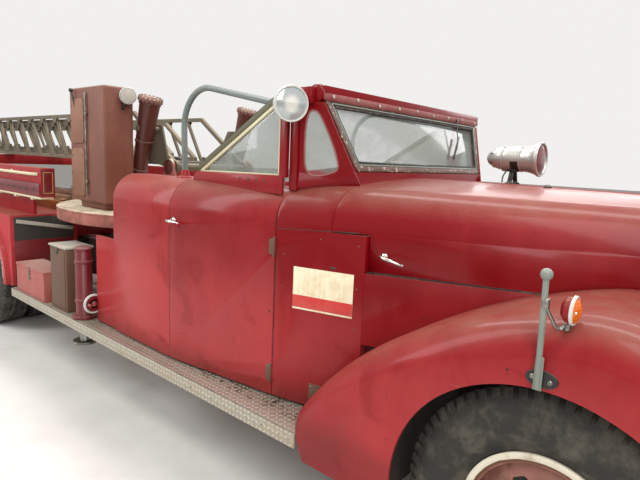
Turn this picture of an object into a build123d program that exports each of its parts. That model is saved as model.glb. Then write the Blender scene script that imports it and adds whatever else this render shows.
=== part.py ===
from build123d import *
import os

# A conventional-cab fire engine with a mid-ship turntable ladder, in millimetres.
# +X is forward, +Y is the vehicle's left and +Z is up. The origin is on the ground
# under the middle of the overall length, from the bumper to the tip of the bedded ladder.
# Stations along the vehicle are distances behind the front axle, as a builder's sheet has them.

# Overall sizes
OVERALL_LENGTH = 11200
FRONT_OVERHANG = 950
WHEELBASE = 5450
SHEET = 12
PANEL_GAP = 6
SEAT_GAP = 0.3
BITE = 2

FRONT_AXLE_X = OVERALL_LENGTH / 2 - FRONT_OVERHANG
LADDER_TIP = FRONT_AXLE_X + OVERALL_LENGTH / 2

# Wheels
TYRE_R = 525
TYRE_WIDTH = 275
RIM_R = 262
FLANGE_R = 290
RIM_EDGE = 107
BEAD_HALF = 97
HUB_R = 95
HUB_CAP_R = 62
HUB_OUT = 150
SPINDLE_R = 38
FRONT_WHEEL_Y = 980
REAR_OUTER_Y = 1050
DUAL_SPACING = 318
ARCH_R = 570
WHEELHOUSE_R = 600
CROWN_FILLET = 140
FENDER_INNER = 470
KINGPIN_Y = 800
KINGPIN_R = 22
STEER_ARM = 200
STEER_ARM_Z = 415
TIE_ROD_R = 15

# Chassis
RAIL_Y = 430
RAIL_FLANGE = 80
RAIL_DEPTH = 220
RAIL_THICK = 10
FRAME_TOP = 900
FRAME_NOSE = -720
FRAME_TAIL = WHEELBASE + 2000
SPRING_HALF = 560
SPRING_WIDTH = 76
SPRING_PACK = 62
AXLE_TUBE_R = 62
BEAM_TOP = 500

# Cab body: half widths are at the bottom of the panels
BOARD_TOP = 500
BOARD_DEPTH = 75
BOARD_EDGE_Y = 1180
BOARD_INNER_Y = 890
BOARD_FRONT = 1101
BUMPER_HALF = BOARD_EDGE_Y - 20
BODY_BASE = BOARD_TOP + 14
COWL_SKIN = 24
COWL_FRONT = 958
COWL_HALF = 885
COWL_REAR = 1462
COWL_REAR_HALF = 984
DOOR_FRONT = 1469
DOOR_FRONT_HALF = 985
DOOR_REAR = 2290
DOOR_REAR_HALF = 1083
DOOR_THICK = 50
DOOR_HINGES = (640, 1330)
DOOR_PIN_R = 4
HINGE_BARREL_R = 6.5
HINGE_TALL = 60
QUARTER_END = 3000
SKIRT_END = 3289
SKIRT_HALF = 1066
QUARTER_INNER = 800
WAIST_Z = 1452
BELT_Z = 1637
SHOULDER = 200
TOP_RISE = 40
CAB_BACK = 2600
CAB_FLOOR = 950
SEAT_BASE = 1080
FLOOR_HALF = 850
FIREWALL = 990
DASH = 1390
STEERING_WHEEL = (1790, 420, 1400)
COLUMN_FOOT = (1180, 420, 1010)

# Hood
HOOD_REAR = 1139
HOOD_REAR_HALF = 925
HOOD_FRONT = -300
HOOD_FRONT_HALF = 430
HOOD_BASE = 1268
HOOD_STEP_Z = 1448
HOOD_CROWN_REAR = 1706
HOOD_CROWN_FRONT = 1690
HOOD_THICK = 20
NOSE_SHOULDER = 170
SIREN = (740, 270, 1845)
SPINE_HALF = 16
HOOD_CLEARANCE = 9
HOOD_ROD_R = 3
NOSE_FRONT = -470
HEADLAMP = (-560, 1340)
HEADLAMP_Y = 760
HEADLAMP_R = 115
STALK_TOP = 1205
STALK_R = 26

# Windscreen: the outside corners of its frame
SCREEN_BASE = (1179, 725, 1735)
SCREEN_TOP = (1306, 857, 2097)
SCREEN_FRAME = 38
SCREEN_THICK = 28
GLASS_THICK = 7
HEADER_HEIGHT = 62
HEADER_DEPTH = 120
PILLAR_X = 1462
PILLAR_Y = 905
PILLAR_WIDE = 52
SPOTLIGHT = (1386, 1000, 2055)
SPOTLIGHT_R = 88
MARKER_STATION = 30
MARKER_TOP = 1468
MARKER_R = 9
HOOP_REAR = 2430
HOOP_Y = 880
HOOP_TOP = 2240
HOOP_END_Z = 2052
HOOP_R = 19

# Turntable
TURNTABLE = 3800
DECK_R = 1050
DECK_TOP = 1305
DECK_RIM = 100
DECK_PLATE = 12
RING_R = 520
RING_FACE = 1199
DECK_CLEARANCE = 35

# Ladder
PIVOT = (3320, 1680)
PIVOT_R = 32
PIVOT_PLATE_Y = 408
PIVOT_PLATE = 24
RAM_Y = 514
RAM_PIN = (3520, 1980)
RAM_EYE = (3700, 1395)
RAM_PIN_R = 22
RAM_CAP_R = 92
RAM_FOOT_R = 56
RAM_ABOVE_PIN = 235
RAM_BELOW_PIN = 400
ROD_R = 34
LIFT_PLATE = 16
HEEL_EYE = 24
RUNG_PITCH = 350
CHORD = 36
STRUT = 26
RUNG_R = 15
# Each section: its name, half width, bottom, top, heel station and tip station.
# An inner section's side rails slide on the rungs of the one outside it.
LADDER_SECTIONS = (
    ("ladder_base", 366, 1690, 2150, 3320, LADDER_TIP - 620),
    ("ladder_mid", 306, 1723.3, 2108, 3980, LADDER_TIP - 310),
    ("ladder_fly", 246, 1756.6, 2066, 4300, LADDER_TIP),
)

# Rear body
BAY_FRONT = WHEELBASE - 710
BAY_REAR = WHEELBASE + 2110
BAY_TOP = TYRE_R + ARCH_R + 71
BAY_INNER = 560
FENDER_OUTER = 1200
BAY_OUTER = FENDER_OUTER - 35
BED_WALL_FRONT = TURNTABLE + 540
BED_WALL_Y = 920
BED_WALL_THICK = 120
BED_WALL_BASE = 1360
BED_WALL_TOP = 1612
BED_REST_TOP = 1685
REST_STATION = BAY_REAR - 260
BED_BEARERS = (BAY_FRONT + 260, WHEELBASE + 550, BAY_REAR - 360)
STEP_END = BAY_REAR + 200
TOW_EYE = (BAY_REAR + 100, 630)
TOW_EYE_R = 25
TOW_PLATE = 30

# Jacks, lockers and toolbox on the running boards
JACK_STATION = 3460
JACK_Y = 1085
JACK_R = 62
JACK_TOP = 1050
JACK_FOOT_Z = 300
JACK_SCREW_R = 38
JACK_SCREW = 640
BOX_ROOM = BAY_FRONT - JACK_STATION
LOCKER = (JACK_STATION + BOX_ROOM * 0.140625, JACK_STATION + BOX_ROOM * 0.375)
LOCKER_TOP = 1010
TOOLBOX = (JACK_STATION + BOX_ROOM * 0.453125, JACK_STATION + BOX_ROOM * 0.921875)
TOOLBOX_TOP = 735
BOX_SHEET = 8
LID_OVERHANG = 3
LID_PIN_R = 5
BOX_INNER = 930
BOX_OUTER = BOARD_EDGE_Y - 20

os.makedirs("parts", exist_ok=True)


def behind(distance):
    """The X of a station that far behind the front axle."""
    return FRONT_AXLE_X - distance


def save(builder, name):
    builder.part.label = name
    export_step(builder.part, f"parts/{name}.step")


def mirrored(builder):
    """The left-hand copy of a right-hand piece."""
    with BuildPart() as copy:
        add(mirror(builder.part, about=Plane.XZ, mode=Mode.PRIVATE))
    return copy


def side_plane(y=0):
    """A plane facing the vehicle's right, y to its left: it is drawn on in X and Z."""
    return Plane(origin=(0, y, 0), x_dir=(1, 0, 0), z_dir=(0, -1, 0))


def station_plane(station):
    """A plane square to X at a station: it is drawn on in Y and Z."""
    return Plane(origin=(behind(station), 0, 0), x_dir=(0, 1, 0), z_dir=(1, 0, 0))


def block(stations, widths, heights, mode=Mode.ADD):
    """A box between two stations, two widths and two heights."""
    (s0, s1), (y0, y1), (z0, z1) = stations, widths, heights
    with Locations((behind((s0 + s1) / 2), (y0 + y1) / 2, (z0 + z1) / 2)):
        Box(abs(s1 - s0), abs(y1 - y0), abs(z1 - z0), mode=mode)


def bar(start, end, wide, deep, mode=Mode.ADD):
    """A straight rectangular bar between two points, its wide side across the vehicle."""
    start, end = Vector(*start), Vector(*end)
    run = end - start
    side = (0, 1, 0) if abs(run.Y) < 0.9 * run.length else (1, 0, 0)
    with BuildSketch(Plane(origin=start, x_dir=side, z_dir=run)) as profile:
        Rectangle(wide, deep)
    extrude(profile.sketch, amount=run.length, mode=mode)


def rod(start, end, radius, mode=Mode.ADD):
    """A straight round bar between two points."""
    start, end = Vector(*start), Vector(*end)
    run = end - start
    with BuildSketch(Plane(origin=start, z_dir=run)) as profile:
        Circle(radius)
    extrude(profile.sketch, amount=run.length, mode=mode)


def hoop_section(station, half, base, waist, shoulder, rise, crown, inset=0):
    """A body section square to X: straight sides, round shoulders and a crowned top."""
    top = crown - rise - inset
    edge = half - shoulder
    with BuildSketch(station_plane(station)) as profile:
        with BuildLine():
            TangentArc((-half + inset, waist), (-edge, top), tangent=(0, 1))
            ThreePointArc((-edge, top), (0, crown - inset), (edge, top))
            TangentArc((half - inset, waist), (edge, top), tangent=(0, 1))
            Polyline((half - inset, waist), (half - inset, base), (-half + inset, base),
                     (-half + inset, waist))
        make_face()
    return profile.sketch


def revolve_about_axle(station, y, z, outline):
    """A ring about a wheel's axle: the outline's points are radius and distance outwards."""
    with BuildSketch(Plane(origin=(behind(station), y, z), x_dir=(0, 0, 1), z_dir=(-1, 0, 0))) as profile:
        with BuildLine():
            Polyline(*outline, close=True)
        make_face()
    revolve(profile.sketch, axis=Axis((behind(station), y, z), (0, 1, 0)))


# Half of the tyre's section: radius and share of half the tyre's width, beyond the bead
TYRE_SECTION = ((335, 0.9), (395, 1.0), (465, 0.95), (505, 0.78), (TYRE_R, 0.5))


def tyre(station, y):
    half = TYRE_WIDTH / 2
    side = [(RIM_R + SEAT_GAP, BEAD_HALF), (FLANGE_R + 6, BEAD_HALF)]
    side += [(radius, share * half) for radius, share in TYRE_SECTION]
    revolve_about_axle(station, y, TYRE_R, side + [(radius, -out) for radius, out in reversed(side)])


def wheel_disc(station, y, out):
    """A rim and its dished disc with hand holes; out is +1 or -1, the way the disc bulges."""
    side = [(RIM_R - 9, RIM_EDGE), (FLANGE_R, RIM_EDGE), (FLANGE_R, BEAD_HALF + SEAT_GAP),
            (RIM_R, BEAD_HALF + SEAT_GAP)]
    revolve_about_axle(station, y, TYRE_R, side + [(radius, -edge) for radius, edge in reversed(side)])
    disc = ((RIM_R - 5, 40), (RIM_R - 5, 55), (215, 78), (150, 92), (HUB_R - 5, 92), (HUB_R - 5, 78),
            (148, 78), (205, 64))
    revolve_about_axle(station, y, TYRE_R, [(radius, depth * out) for radius, depth in disc])
    with BuildSketch(Plane(origin=(behind(station), y, TYRE_R), x_dir=(1, 0, 0), z_dir=(0, 1, 0))) as holes:
        with PolarLocations(178, 6):
            SlotOverall(62, 34, rotation=90)
    extrude(holes.sketch, amount=130, both=True, mode=Mode.SUBTRACT)


def hub(station, inner, bore_end, outer):
    """A right-hand hub on its spindle: where it starts, where its bore ends and its cap's face."""
    bore = SPINDLE_R + SEAT_GAP
    end = bore_end - SEAT_GAP
    outline = [(bore, inner), (HUB_R, inner), (HUB_R, bore_end), (HUB_CAP_R, bore_end), (HUB_CAP_R - 6, outer),
               (0, outer), (0, end), (bore, end)]
    revolve_about_axle(station, 0, TYRE_R, outline)


def make_front_wheels():
    with BuildPart() as tyre_right:
        tyre(0, -FRONT_WHEEL_Y)
    save(tyre_right, "front_tyre_right")
    save(mirrored(tyre_right), "front_tyre_left")
    with BuildPart() as rim_right:
        wheel_disc(0, -FRONT_WHEEL_Y, -1)
        hub(0, -FRONT_WHEEL_Y + 60, -FRONT_WHEEL_Y - 100, -FRONT_WHEEL_Y - HUB_OUT)
    save(rim_right, "front_rim_right")
    save(mirrored(rim_right), "front_rim_left")


def make_rear_wheels():
    with BuildPart() as tyres_right:
        tyre(WHEELBASE, -REAR_OUTER_Y)
        tyre(WHEELBASE, -REAR_OUTER_Y + DUAL_SPACING)
    save(tyres_right, "rear_tyres_right")
    save(mirrored(tyres_right), "rear_tyres_left")
    with BuildPart() as rims_right:
        wheel_disc(WHEELBASE, -REAR_OUTER_Y, 1)
        wheel_disc(WHEELBASE, -REAR_OUTER_Y + DUAL_SPACING, -1)
        hub(WHEELBASE, -REAR_OUTER_Y + DUAL_SPACING + 40, -REAR_OUTER_Y, -REAR_OUTER_Y - 60)
    save(rims_right, "rear_rims_right")
    save(mirrored(rims_right), "rear_rims_left")


def make_frame():
    with BuildPart() as chassis_frame:
        low = FRAME_TOP - RAIL_DEPTH
        for side in (-1, 1):
            web = (side * RAIL_Y, side * (RAIL_Y - RAIL_THICK))
            flange = (side * RAIL_Y, side * (RAIL_Y - RAIL_FLANGE))
            block((FRAME_NOSE, FRAME_TAIL), web, (low, FRAME_TOP))
            block((FRAME_NOSE, FRAME_TAIL), flange, (low, low + RAIL_THICK))
            block((FRAME_NOSE, FRAME_TAIL), flange, (FRAME_TOP - RAIL_THICK, FRAME_TOP))
        for station in (-560, 1500, 2650, 3500, 4150, BAY_FRONT + 160, BED_BEARERS[1], FRAME_TAIL - 150):
            block((station - 40, station + 40), (-RAIL_Y + RAIL_THICK, RAIL_Y - RAIL_THICK),
                  (low + 85, FRAME_TOP - 20))
    save(chassis_frame, "chassis_frame")


def spring_pack(station, top_middle, top_ends, y):
    """A leaf spring's outline: its middle on the axle and its ends up at the frame."""
    centre = behind(station)
    with BuildSketch(side_plane(y + SPRING_WIDTH / 2)) as profile:
        with BuildLine():
            lower = ThreePointArc((centre - SPRING_HALF, top_ends - 24),
                                  (centre, top_middle - SPRING_PACK),
                                  (centre + SPRING_HALF, top_ends - 24))
            Line(lower @ 1, (centre + SPRING_HALF, top_ends))
            upper = ThreePointArc((centre + SPRING_HALF, top_ends), (centre, top_middle),
                                  (centre - SPRING_HALF, top_ends))
            Line(upper @ 1, lower @ 0)
        make_face()
    extrude(profile.sketch, amount=SPRING_WIDTH)


def make_axles():
    rail_low = FRAME_TOP - RAIL_DEPTH
    spring_y = RAIL_Y - SPRING_WIDTH / 2
    with BuildPart() as front_axle:
        for side in (-1, 1):
            bar((behind(0), 0, BEAM_TOP - 45), (behind(0), side * 600, BEAM_TOP - 45), 90, 90)
            bar((behind(0), side * 560, BEAM_TOP - 50), (behind(0), side * (KINGPIN_Y - 20), TYRE_R), 70, 80)
            with Locations((behind(0), side * KINGPIN_Y, TYRE_R)):
                Cylinder(46, 110)
            with Locations((behind(0), side * KINGPIN_Y, TYRE_R)):
                Cylinder(KINGPIN_R + SEAT_GAP, 110, mode=Mode.SUBTRACT)
            spring_pack(0, BEAM_TOP + SPRING_PACK - BITE, rail_low - SEAT_GAP, side * spring_y)
    save(front_axle, "front_axle")
    with BuildPart() as rear_axle:
        rod((behind(WHEELBASE), -REAR_OUTER_Y, TYRE_R), (behind(WHEELBASE), REAR_OUTER_Y, TYRE_R), SPINDLE_R)
        inner = REAR_OUTER_Y - DUAL_SPACING - 70
        rod((behind(WHEELBASE), -inner, TYRE_R), (behind(WHEELBASE), inner, TYRE_R), AXLE_TUBE_R)
        with Locations((behind(WHEELBASE), 0, TYRE_R)):
            Sphere(190)
        rod((behind(WHEELBASE), 0, TYRE_R + 20), (behind(WHEELBASE - 420), 0, TYRE_R + 60), 80)
        rod((behind(WHEELBASE - 400), 0, TYRE_R + 58), (behind(1452), 0, 700), 42)
        for side in (-1, 1):
            spring_pack(WHEELBASE, TYRE_R + AXLE_TUBE_R + SPRING_PACK - BITE, rail_low - SEAT_GAP,
                        side * spring_y)
    save(rear_axle, "rear_axle")


def make_steering():
    with BuildPart() as knuckle_right:
        with Locations((behind(0), -KINGPIN_Y, TYRE_R)):
            Cylinder(KINGPIN_R, 200)
        for low, high in ((-100, -62), (62, 100)):
            block((-45, 45), (-KINGPIN_Y - 75, -KINGPIN_Y + 40), (TYRE_R + low, TYRE_R + high))
        block((-45, 45), (-KINGPIN_Y - 90, -KINGPIN_Y - 50), (TYRE_R - 100, TYRE_R + 100))
        rod((behind(0), -KINGPIN_Y - 80, TYRE_R), (behind(0), -FRONT_WHEEL_Y - 50, TYRE_R), SPINDLE_R)
        bar((behind(0), -KINGPIN_Y, TYRE_R - 85), (behind(STEER_ARM), -KINGPIN_Y, STEER_ARM_Z + 40), 60, 30)
        with Locations((behind(STEER_ARM), -KINGPIN_Y, STEER_ARM_Z + 40)):
            Cylinder(30, 30)
        with Locations((behind(STEER_ARM), -KINGPIN_Y, STEER_ARM_Z)):
            Cylinder(10, 60)
    save(knuckle_right, "steering_knuckle_right")
    save(mirrored(knuckle_right), "steering_knuckle_left")
    with BuildPart() as tie_rod:
        rod((behind(STEER_ARM), -KINGPIN_Y, STEER_ARM_Z - 12),
            (behind(STEER_ARM), KINGPIN_Y, STEER_ARM_Z - 12), TIE_ROD_R)
        for side in (-1, 1):
            with Locations((behind(STEER_ARM), side * KINGPIN_Y, STEER_ARM_Z - 12)):
                Cylinder(26, 44)
                Cylinder(10 + SEAT_GAP, 44, mode=Mode.SUBTRACT)
    save(tie_rod, "tie_rod")


def make_engine():
    with BuildPart() as engine_block:
        block((-220, 880), (-300, 300), (640, 1330))
        block((880, 1450), (-190, 190), (640, 900))
    save(engine_block, "engine_block")


def make_front_end():
    with BuildPart() as bumper:
        nose = FRONT_AXLE_X + FRONT_OVERHANG
        with BuildSketch(Plane(origin=(0, 0, 450), x_dir=(1, 0, 0), z_dir=(0, 0, 1))):
            with BuildLine():
                outer = ThreePointArc((nose - 130, -BUMPER_HALF), (nose, 0), (nose - 130, BUMPER_HALF))
                Line(outer @ 1, (nose - 150, BUMPER_HALF))
                inner = ThreePointArc((nose - 150, BUMPER_HALF), (nose - 20, 0), (nose - 150, -BUMPER_HALF))
                Line(inner @ 1, outer @ 0)
            make_face()
        extrude(amount=190)
        for side in (-1, 1):
            arm_y = side * (RAIL_Y + 10 + SEAT_GAP)
            bar((behind(FRAME_NOSE) - 60, arm_y, 700), (nose - 25, arm_y, 560), 20, 110)
            with BuildSketch(side_plane(arm_y + 10)):
                with Locations((nose - 85, 440)):
                    Rectangle(100, 110)
                with Locations((nose - 85, 390)):
                    Circle(50)
                    Circle(TOW_EYE_R, mode=Mode.SUBTRACT)
            extrude(amount=20)
    save(bumper, "bumper")
    with BuildPart() as radiator_shell:
        base = FRAME_TOP + SEAT_GAP
        loft([hoop_section(HOOD_FRONT - PANEL_GAP, HOOD_FRONT_HALF, base, WAIST_Z, 170, TOP_RISE,
                           HOOD_CROWN_FRONT),
              hoop_section(NOSE_FRONT, HOOD_FRONT_HALF - 40, base, WAIST_Z - 20, 190, TOP_RISE + 20,
                           HOOD_CROWN_FRONT - 60)])
        with BuildSketch(station_plane(NOSE_FRONT - 1)):
            with Locations((0, 1220)):
                RectangleRounded(560, 540, 90)
        extrude(amount=-120, mode=Mode.SUBTRACT)
        for height in range(990, 1480, 60):
            block((NOSE_FRONT + 20, NOSE_FRONT + 60), (-300, 300), (height - 9, height + 9))
        with BuildSketch(station_plane(NOSE_FRONT)):
            with Locations((0, 1220)):
                Rectangle(26, 560)
        extrude(amount=-70)
    save(radiator_shell, "radiator_shell")
    with BuildPart() as headlamps:
        lamp_x = behind(HEADLAMP[0])
        shell = ((60, 0), (60, HEADLAMP_R - 10), (20, HEADLAMP_R), (-35, HEADLAMP_R - 5), (-90, 90),
                 (-130, 52), (-146, 22), (-150, 0))
        with BuildSketch(side_plane(-HEADLAMP_Y)):
            with BuildLine():
                Polyline(*[(lamp_x + along, HEADLAMP[1] + radius) for along, radius in shell], close=True)
            make_face()
        revolve(axis=Axis((0, -HEADLAMP_Y, HEADLAMP[1]), (1, 0, 0)))
        rod((lamp_x, -HEADLAMP_Y, HEADLAMP[1] - 90), (lamp_x, -HEADLAMP_Y, STALK_TOP + SEAT_GAP), STALK_R)
        mirror(about=Plane.XZ)
    save(headlamps, "headlamps")


def fender_outline(y, inset):
    """A front fender from the side: a long crown from its rear corner to its front corner.

    The inset one runs on below, so that taking it away leaves the fender open underneath.
    """
    x = behind(0)
    fall = 200 if inset else 0
    rear_x = x - 1045 + inset + 99 * fall / 212
    with BuildSketch(side_plane(y)) as profile:
        with BuildLine():
            crown = ThreePointArc((x - 1144 + inset, 597), (x - 504 + inset * 0.7, 1151 - inset * 0.7),
                                  (x + 18, 1328 - inset))
            front = TangentArc(crown @ 1, (x + 640 - inset, 790), tangent=crown % 1)
            drop = Line(front @ 1, (front @ 1) + (front % 1) * (270 + fall))
            Polyline(drop @ 1, (x - 560, 385 - fall), (rear_x, 385 - fall), crown @ 0)
        make_face()
    return profile.sketch


def round_crown(fender, y, radius):
    """Round a fender's outer edge over its crown and down its front."""
    edges = fender.edges().filter_by_position(Axis.Y, y - 1, y + 1)
    fillet(edges.filter_by(GeomType.CIRCLE) + edges.filter_by(GeomType.LINE).sort_by(Axis.X)[-1:], radius)


def make_front_fenders():
    width = BOARD_EDGE_Y - FENDER_INNER
    with BuildPart() as shell:
        extrude(fender_outline(-FENDER_INNER, 0), amount=width)
        round_crown(shell, -BOARD_EDGE_Y, CROWN_FILLET)
        lamp_x = behind(HEADLAMP[0])
        rod((lamp_x, -HEADLAMP_Y, TYRE_R + 400), (lamp_x, -HEADLAMP_Y, STALK_TOP), STALK_R)
    with BuildPart() as inside:
        extrude(fender_outline(1 - FENDER_INNER, SHEET), amount=width - SHEET + 1)
        round_crown(inside, SHEET - BOARD_EDGE_Y, CROWN_FILLET - SHEET)
    with BuildPart() as hollow:
        add(shell.part)
        add(inside.part, mode=Mode.SUBTRACT)
    return hollow


def cowl_form(inset=0, mode=Mode.ADD):
    """The cowl's outside, or that form moved in or out all round."""
    front, rear = (COWL_FRONT + inset, COWL_HALF), (COWL_REAR + (1 if inset else 0), COWL_REAR_HALF)
    sections = []
    for station, half in (front, rear):
        base = BODY_BASE - (10 if inset else 0)
        sections.append(hoop_section(station, half, base, WAIST_Z, SHOULDER, TOP_RISE, HOOD_CROWN_REAR, inset))
    loft(sections, mode=mode)


def make_cowl():
    base_station, base_half, base_z = SCREEN_BASE
    step = HOOD_STEP_Z - PANEL_GAP
    panel_base = FRAME_TOP + 10
    with BuildPart() as inside:
        block((FIREWALL, FIREWALL + 20), (-COWL_HALF, COWL_HALF), (FRAME_TOP + SEAT_GAP, HOOD_STEP_Z - 12))
        for side in (-1, 1):
            block((FIREWALL - 1, FIREWALL + 21), (side * (RAIL_Y + 60), side * COWL_REAR_HALF),
                  (FRAME_TOP - 10, FRAME_TOP + 40), mode=Mode.SUBTRACT)
        block((DASH - 14, DASH), (-COWL_HALF, COWL_HALF), (1380, 1622))
        block((base_station + 36 + SEAT_GAP, DASH - 14 + BITE), (-COWL_HALF, COWL_HALF), (1602, 1622))
        cowl_form(COWL_SKIN + SEAT_GAP, Mode.INTERSECT)
    with BuildPart() as cowl:
        cowl_form()
        cowl_form(COWL_SKIN, Mode.SUBTRACT)
        block((COWL_FRONT - 10, HOOD_REAR + PANEL_GAP), (-1000, 1000), (step, 1800), mode=Mode.SUBTRACT)
        block((base_station + 40, COWL_REAR + 10), (-760, 760), (1560, 1800), mode=Mode.SUBTRACT)
        block((COWL_FRONT - 1, COWL_FRONT + COWL_SKIN + 1), (-780, 780), (BODY_BASE - 1, step - 60),
              mode=Mode.SUBTRACT)
        block((base_station - 20, base_station + 36), (-base_half - 10, base_half + 10),
              (HOOD_CROWN_REAR - TOP_RISE - 30, base_z - SEAT_GAP))
        rear, front = behind(COWL_FRONT + BITE), behind(HOOD_FRONT)
        for side in (-1, 1):
            with BuildSketch(Plane(origin=(0, 0, panel_base), x_dir=(1, 0, 0), z_dir=(0, 0, 1))):
                with BuildLine():
                    Polyline((rear, side * (COWL_HALF - 2)), (front, side * (HOOD_FRONT_HALF - 2)),
                             (front, side * (HOOD_FRONT_HALF - 20)), (rear, side * (COWL_HALF - 20)), close=True)
                make_face()
            extrude(amount=HOOD_BASE - PANEL_GAP - panel_base)
        with Locations((behind(0), 0, TYRE_R)):
            Cylinder(WHEELHOUSE_R, 2 * BOARD_EDGE_Y, rotation=(90, 0, 0), mode=Mode.SUBTRACT)
        spine_z = HOOD_THICK / 2 + BITE
        bar((behind(HOOD_REAR + 40), 0, HOOD_CROWN_REAR - spine_z),
            (behind(HOOD_FRONT - PANEL_GAP / 2), 0, HOOD_CROWN_FRONT - spine_z), 2 * SPINE_HALF, HOOD_THICK)
        lug_reach = SPINE_HALF + PANEL_GAP - SEAT_GAP
        for share in (0.04, 0.27, 0.5, 0.73, 0.96):
            start, end = hood_line(share - 0.02), hood_line(share + 0.02)
            drop = HOOD_ROD_R + SEAT_GAP + 6
            bar((start[0], 0, start[1] - drop), (end[0], 0, end[1] - drop), 2 * lug_reach, 12)
        for hinge_z in DOOR_HINGES:
            door_hinge(hinge_z, DOOR_PIN_R + SEAT_GAP)
        mirror(about=Plane.XZ)
        add(inside.part)
    save(cowl, "cowl")


def hood_line(share):
    """A point of the hood's hinge line, as X and Z, from its rear end at 0 to its front end at 1."""
    start, end = behind(HOOD_REAR), behind(HOOD_FRONT)
    return start + (end - start) * share, HOOD_CROWN_REAR + (HOOD_CROWN_FRONT - HOOD_CROWN_REAR) * share


def door_hinge(hinge_z, bore):
    """The cowl's half of a right-hand door hinge: a barrel with a bore, and its web."""
    with Locations((behind(DOOR_FRONT), -DOOR_FRONT_HALF, hinge_z)):
        Cylinder(HINGE_BARREL_R, HINGE_TALL)
    block((COWL_REAR - BITE, DOOR_FRONT - 3), (-DOOR_FRONT_HALF - 5, -COWL_REAR_HALF + 12),
          (hinge_z - HINGE_TALL / 2, hinge_z + HINGE_TALL / 2))
    with Locations((behind(DOOR_FRONT), -DOOR_FRONT_HALF, hinge_z)):
        Cylinder(bore, HINGE_TALL, mode=Mode.SUBTRACT)


def finish_fenders(shell):
    """Open the wheel arch and the underside, trim it to the body and add the left fender."""
    slope = (COWL_HALF - HOOD_FRONT_HALF) / (COWL_FRONT - HOOD_FRONT)
    nose = -700
    nose_half = COWL_HALF - slope * (COWL_FRONT - nose)
    with BuildPart() as front_fenders:
        add(shell.part)
        with Locations((behind(0), -BOARD_EDGE_Y, TYRE_R - 10)):
            Cylinder(ARCH_R, 600, rotation=(90, 0, 0), mode=Mode.SUBTRACT)
        for base, gap in ((300, SEAT_GAP), (HOOD_BASE - PANEL_GAP, HOOD_CLEARANCE)):
            with BuildSketch(Plane(origin=(0, 0, base), x_dir=(1, 0, 0), z_dir=(0, 0, 1))):
                with BuildLine():
                    Polyline((behind(COWL_REAR), -COWL_REAR_HALF - gap), (behind(COWL_FRONT), -COWL_HALF - gap),
                             (behind(nose), -nose_half - gap), (behind(nose), -200), (behind(COWL_REAR), -200),
                             close=True)
                make_face()
            extrude(amount=1300, mode=Mode.SUBTRACT)
        mirror(about=Plane.XZ)
    save(front_fenders, "front_fenders")


def hood_form(inset=0, mode=Mode.ADD):
    """The hood's outside, or that form moved in or out all round."""
    run_out = 1 if inset else 0
    base = HOOD_BASE - (9 if inset else 0)
    loft([hoop_section(HOOD_REAR + run_out, HOOD_REAR_HALF, base, WAIST_Z, SHOULDER, TOP_RISE,
                       HOOD_CROWN_REAR, inset),
          hoop_section(HOOD_FRONT - run_out, HOOD_FRONT_HALF, base, WAIST_Z, NOSE_SHOULDER, TOP_RISE,
                       HOOD_CROWN_FRONT, inset)], mode=mode)


def make_hood():
    with BuildPart() as hood_right:
        hood_form()
        hood_form(HOOD_THICK, Mode.SUBTRACT)
        block((HOOD_FRONT - 10, HOOD_REAR + 10), (-SPINE_HALF - PANEL_GAP, 1000), (1200, 1800),
              mode=Mode.SUBTRACT)
        block((COWL_FRONT - PANEL_GAP, HOOD_REAR + 10), (-1000, 0), (1200, HOOD_STEP_Z), mode=Mode.SUBTRACT)
        (rear_x, rear_z), (front_x, front_z) = hood_line(0), hood_line(1)
        edge = -SPINE_HALF - PANEL_GAP
        rod((rear_x, edge, rear_z), (front_x, edge, front_z), HOOD_ROD_R)
    save(hood_right, "hood_right")
    save(mirrored(hood_right), "hood_left")


def make_siren():
    x, y, z = behind(SIREN[0]), SIREN[1], SIREN[2]
    with BuildPart() as siren:
        with BuildSketch(side_plane(y)):
            with BuildLine():
                Polyline((x - 165, z), (x + 163, z), (x + 163, z + 96), (x + 145, z + 100), (x + 112, z + 78),
                         (x + 60, z + 72), (x - 60, z + 72), (x - 105, z + 60), (x - 145, z + 36), close=True)
            make_face()
        revolve(axis=Axis((0, y, z), (1, 0, 0)))
        for foot_y in (y - 45, y + 45):
            bar((x, y + (foot_y - y) * 0.4, z - 66), (x, foot_y, 1712), 26, 16)
            block((SIREN[0] - 24, SIREN[0] + 24), (foot_y - 22, foot_y + 22), (1670, 1716))
        hood_form(-SEAT_GAP, Mode.SUBTRACT)
    save(siren, "siren")


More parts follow.
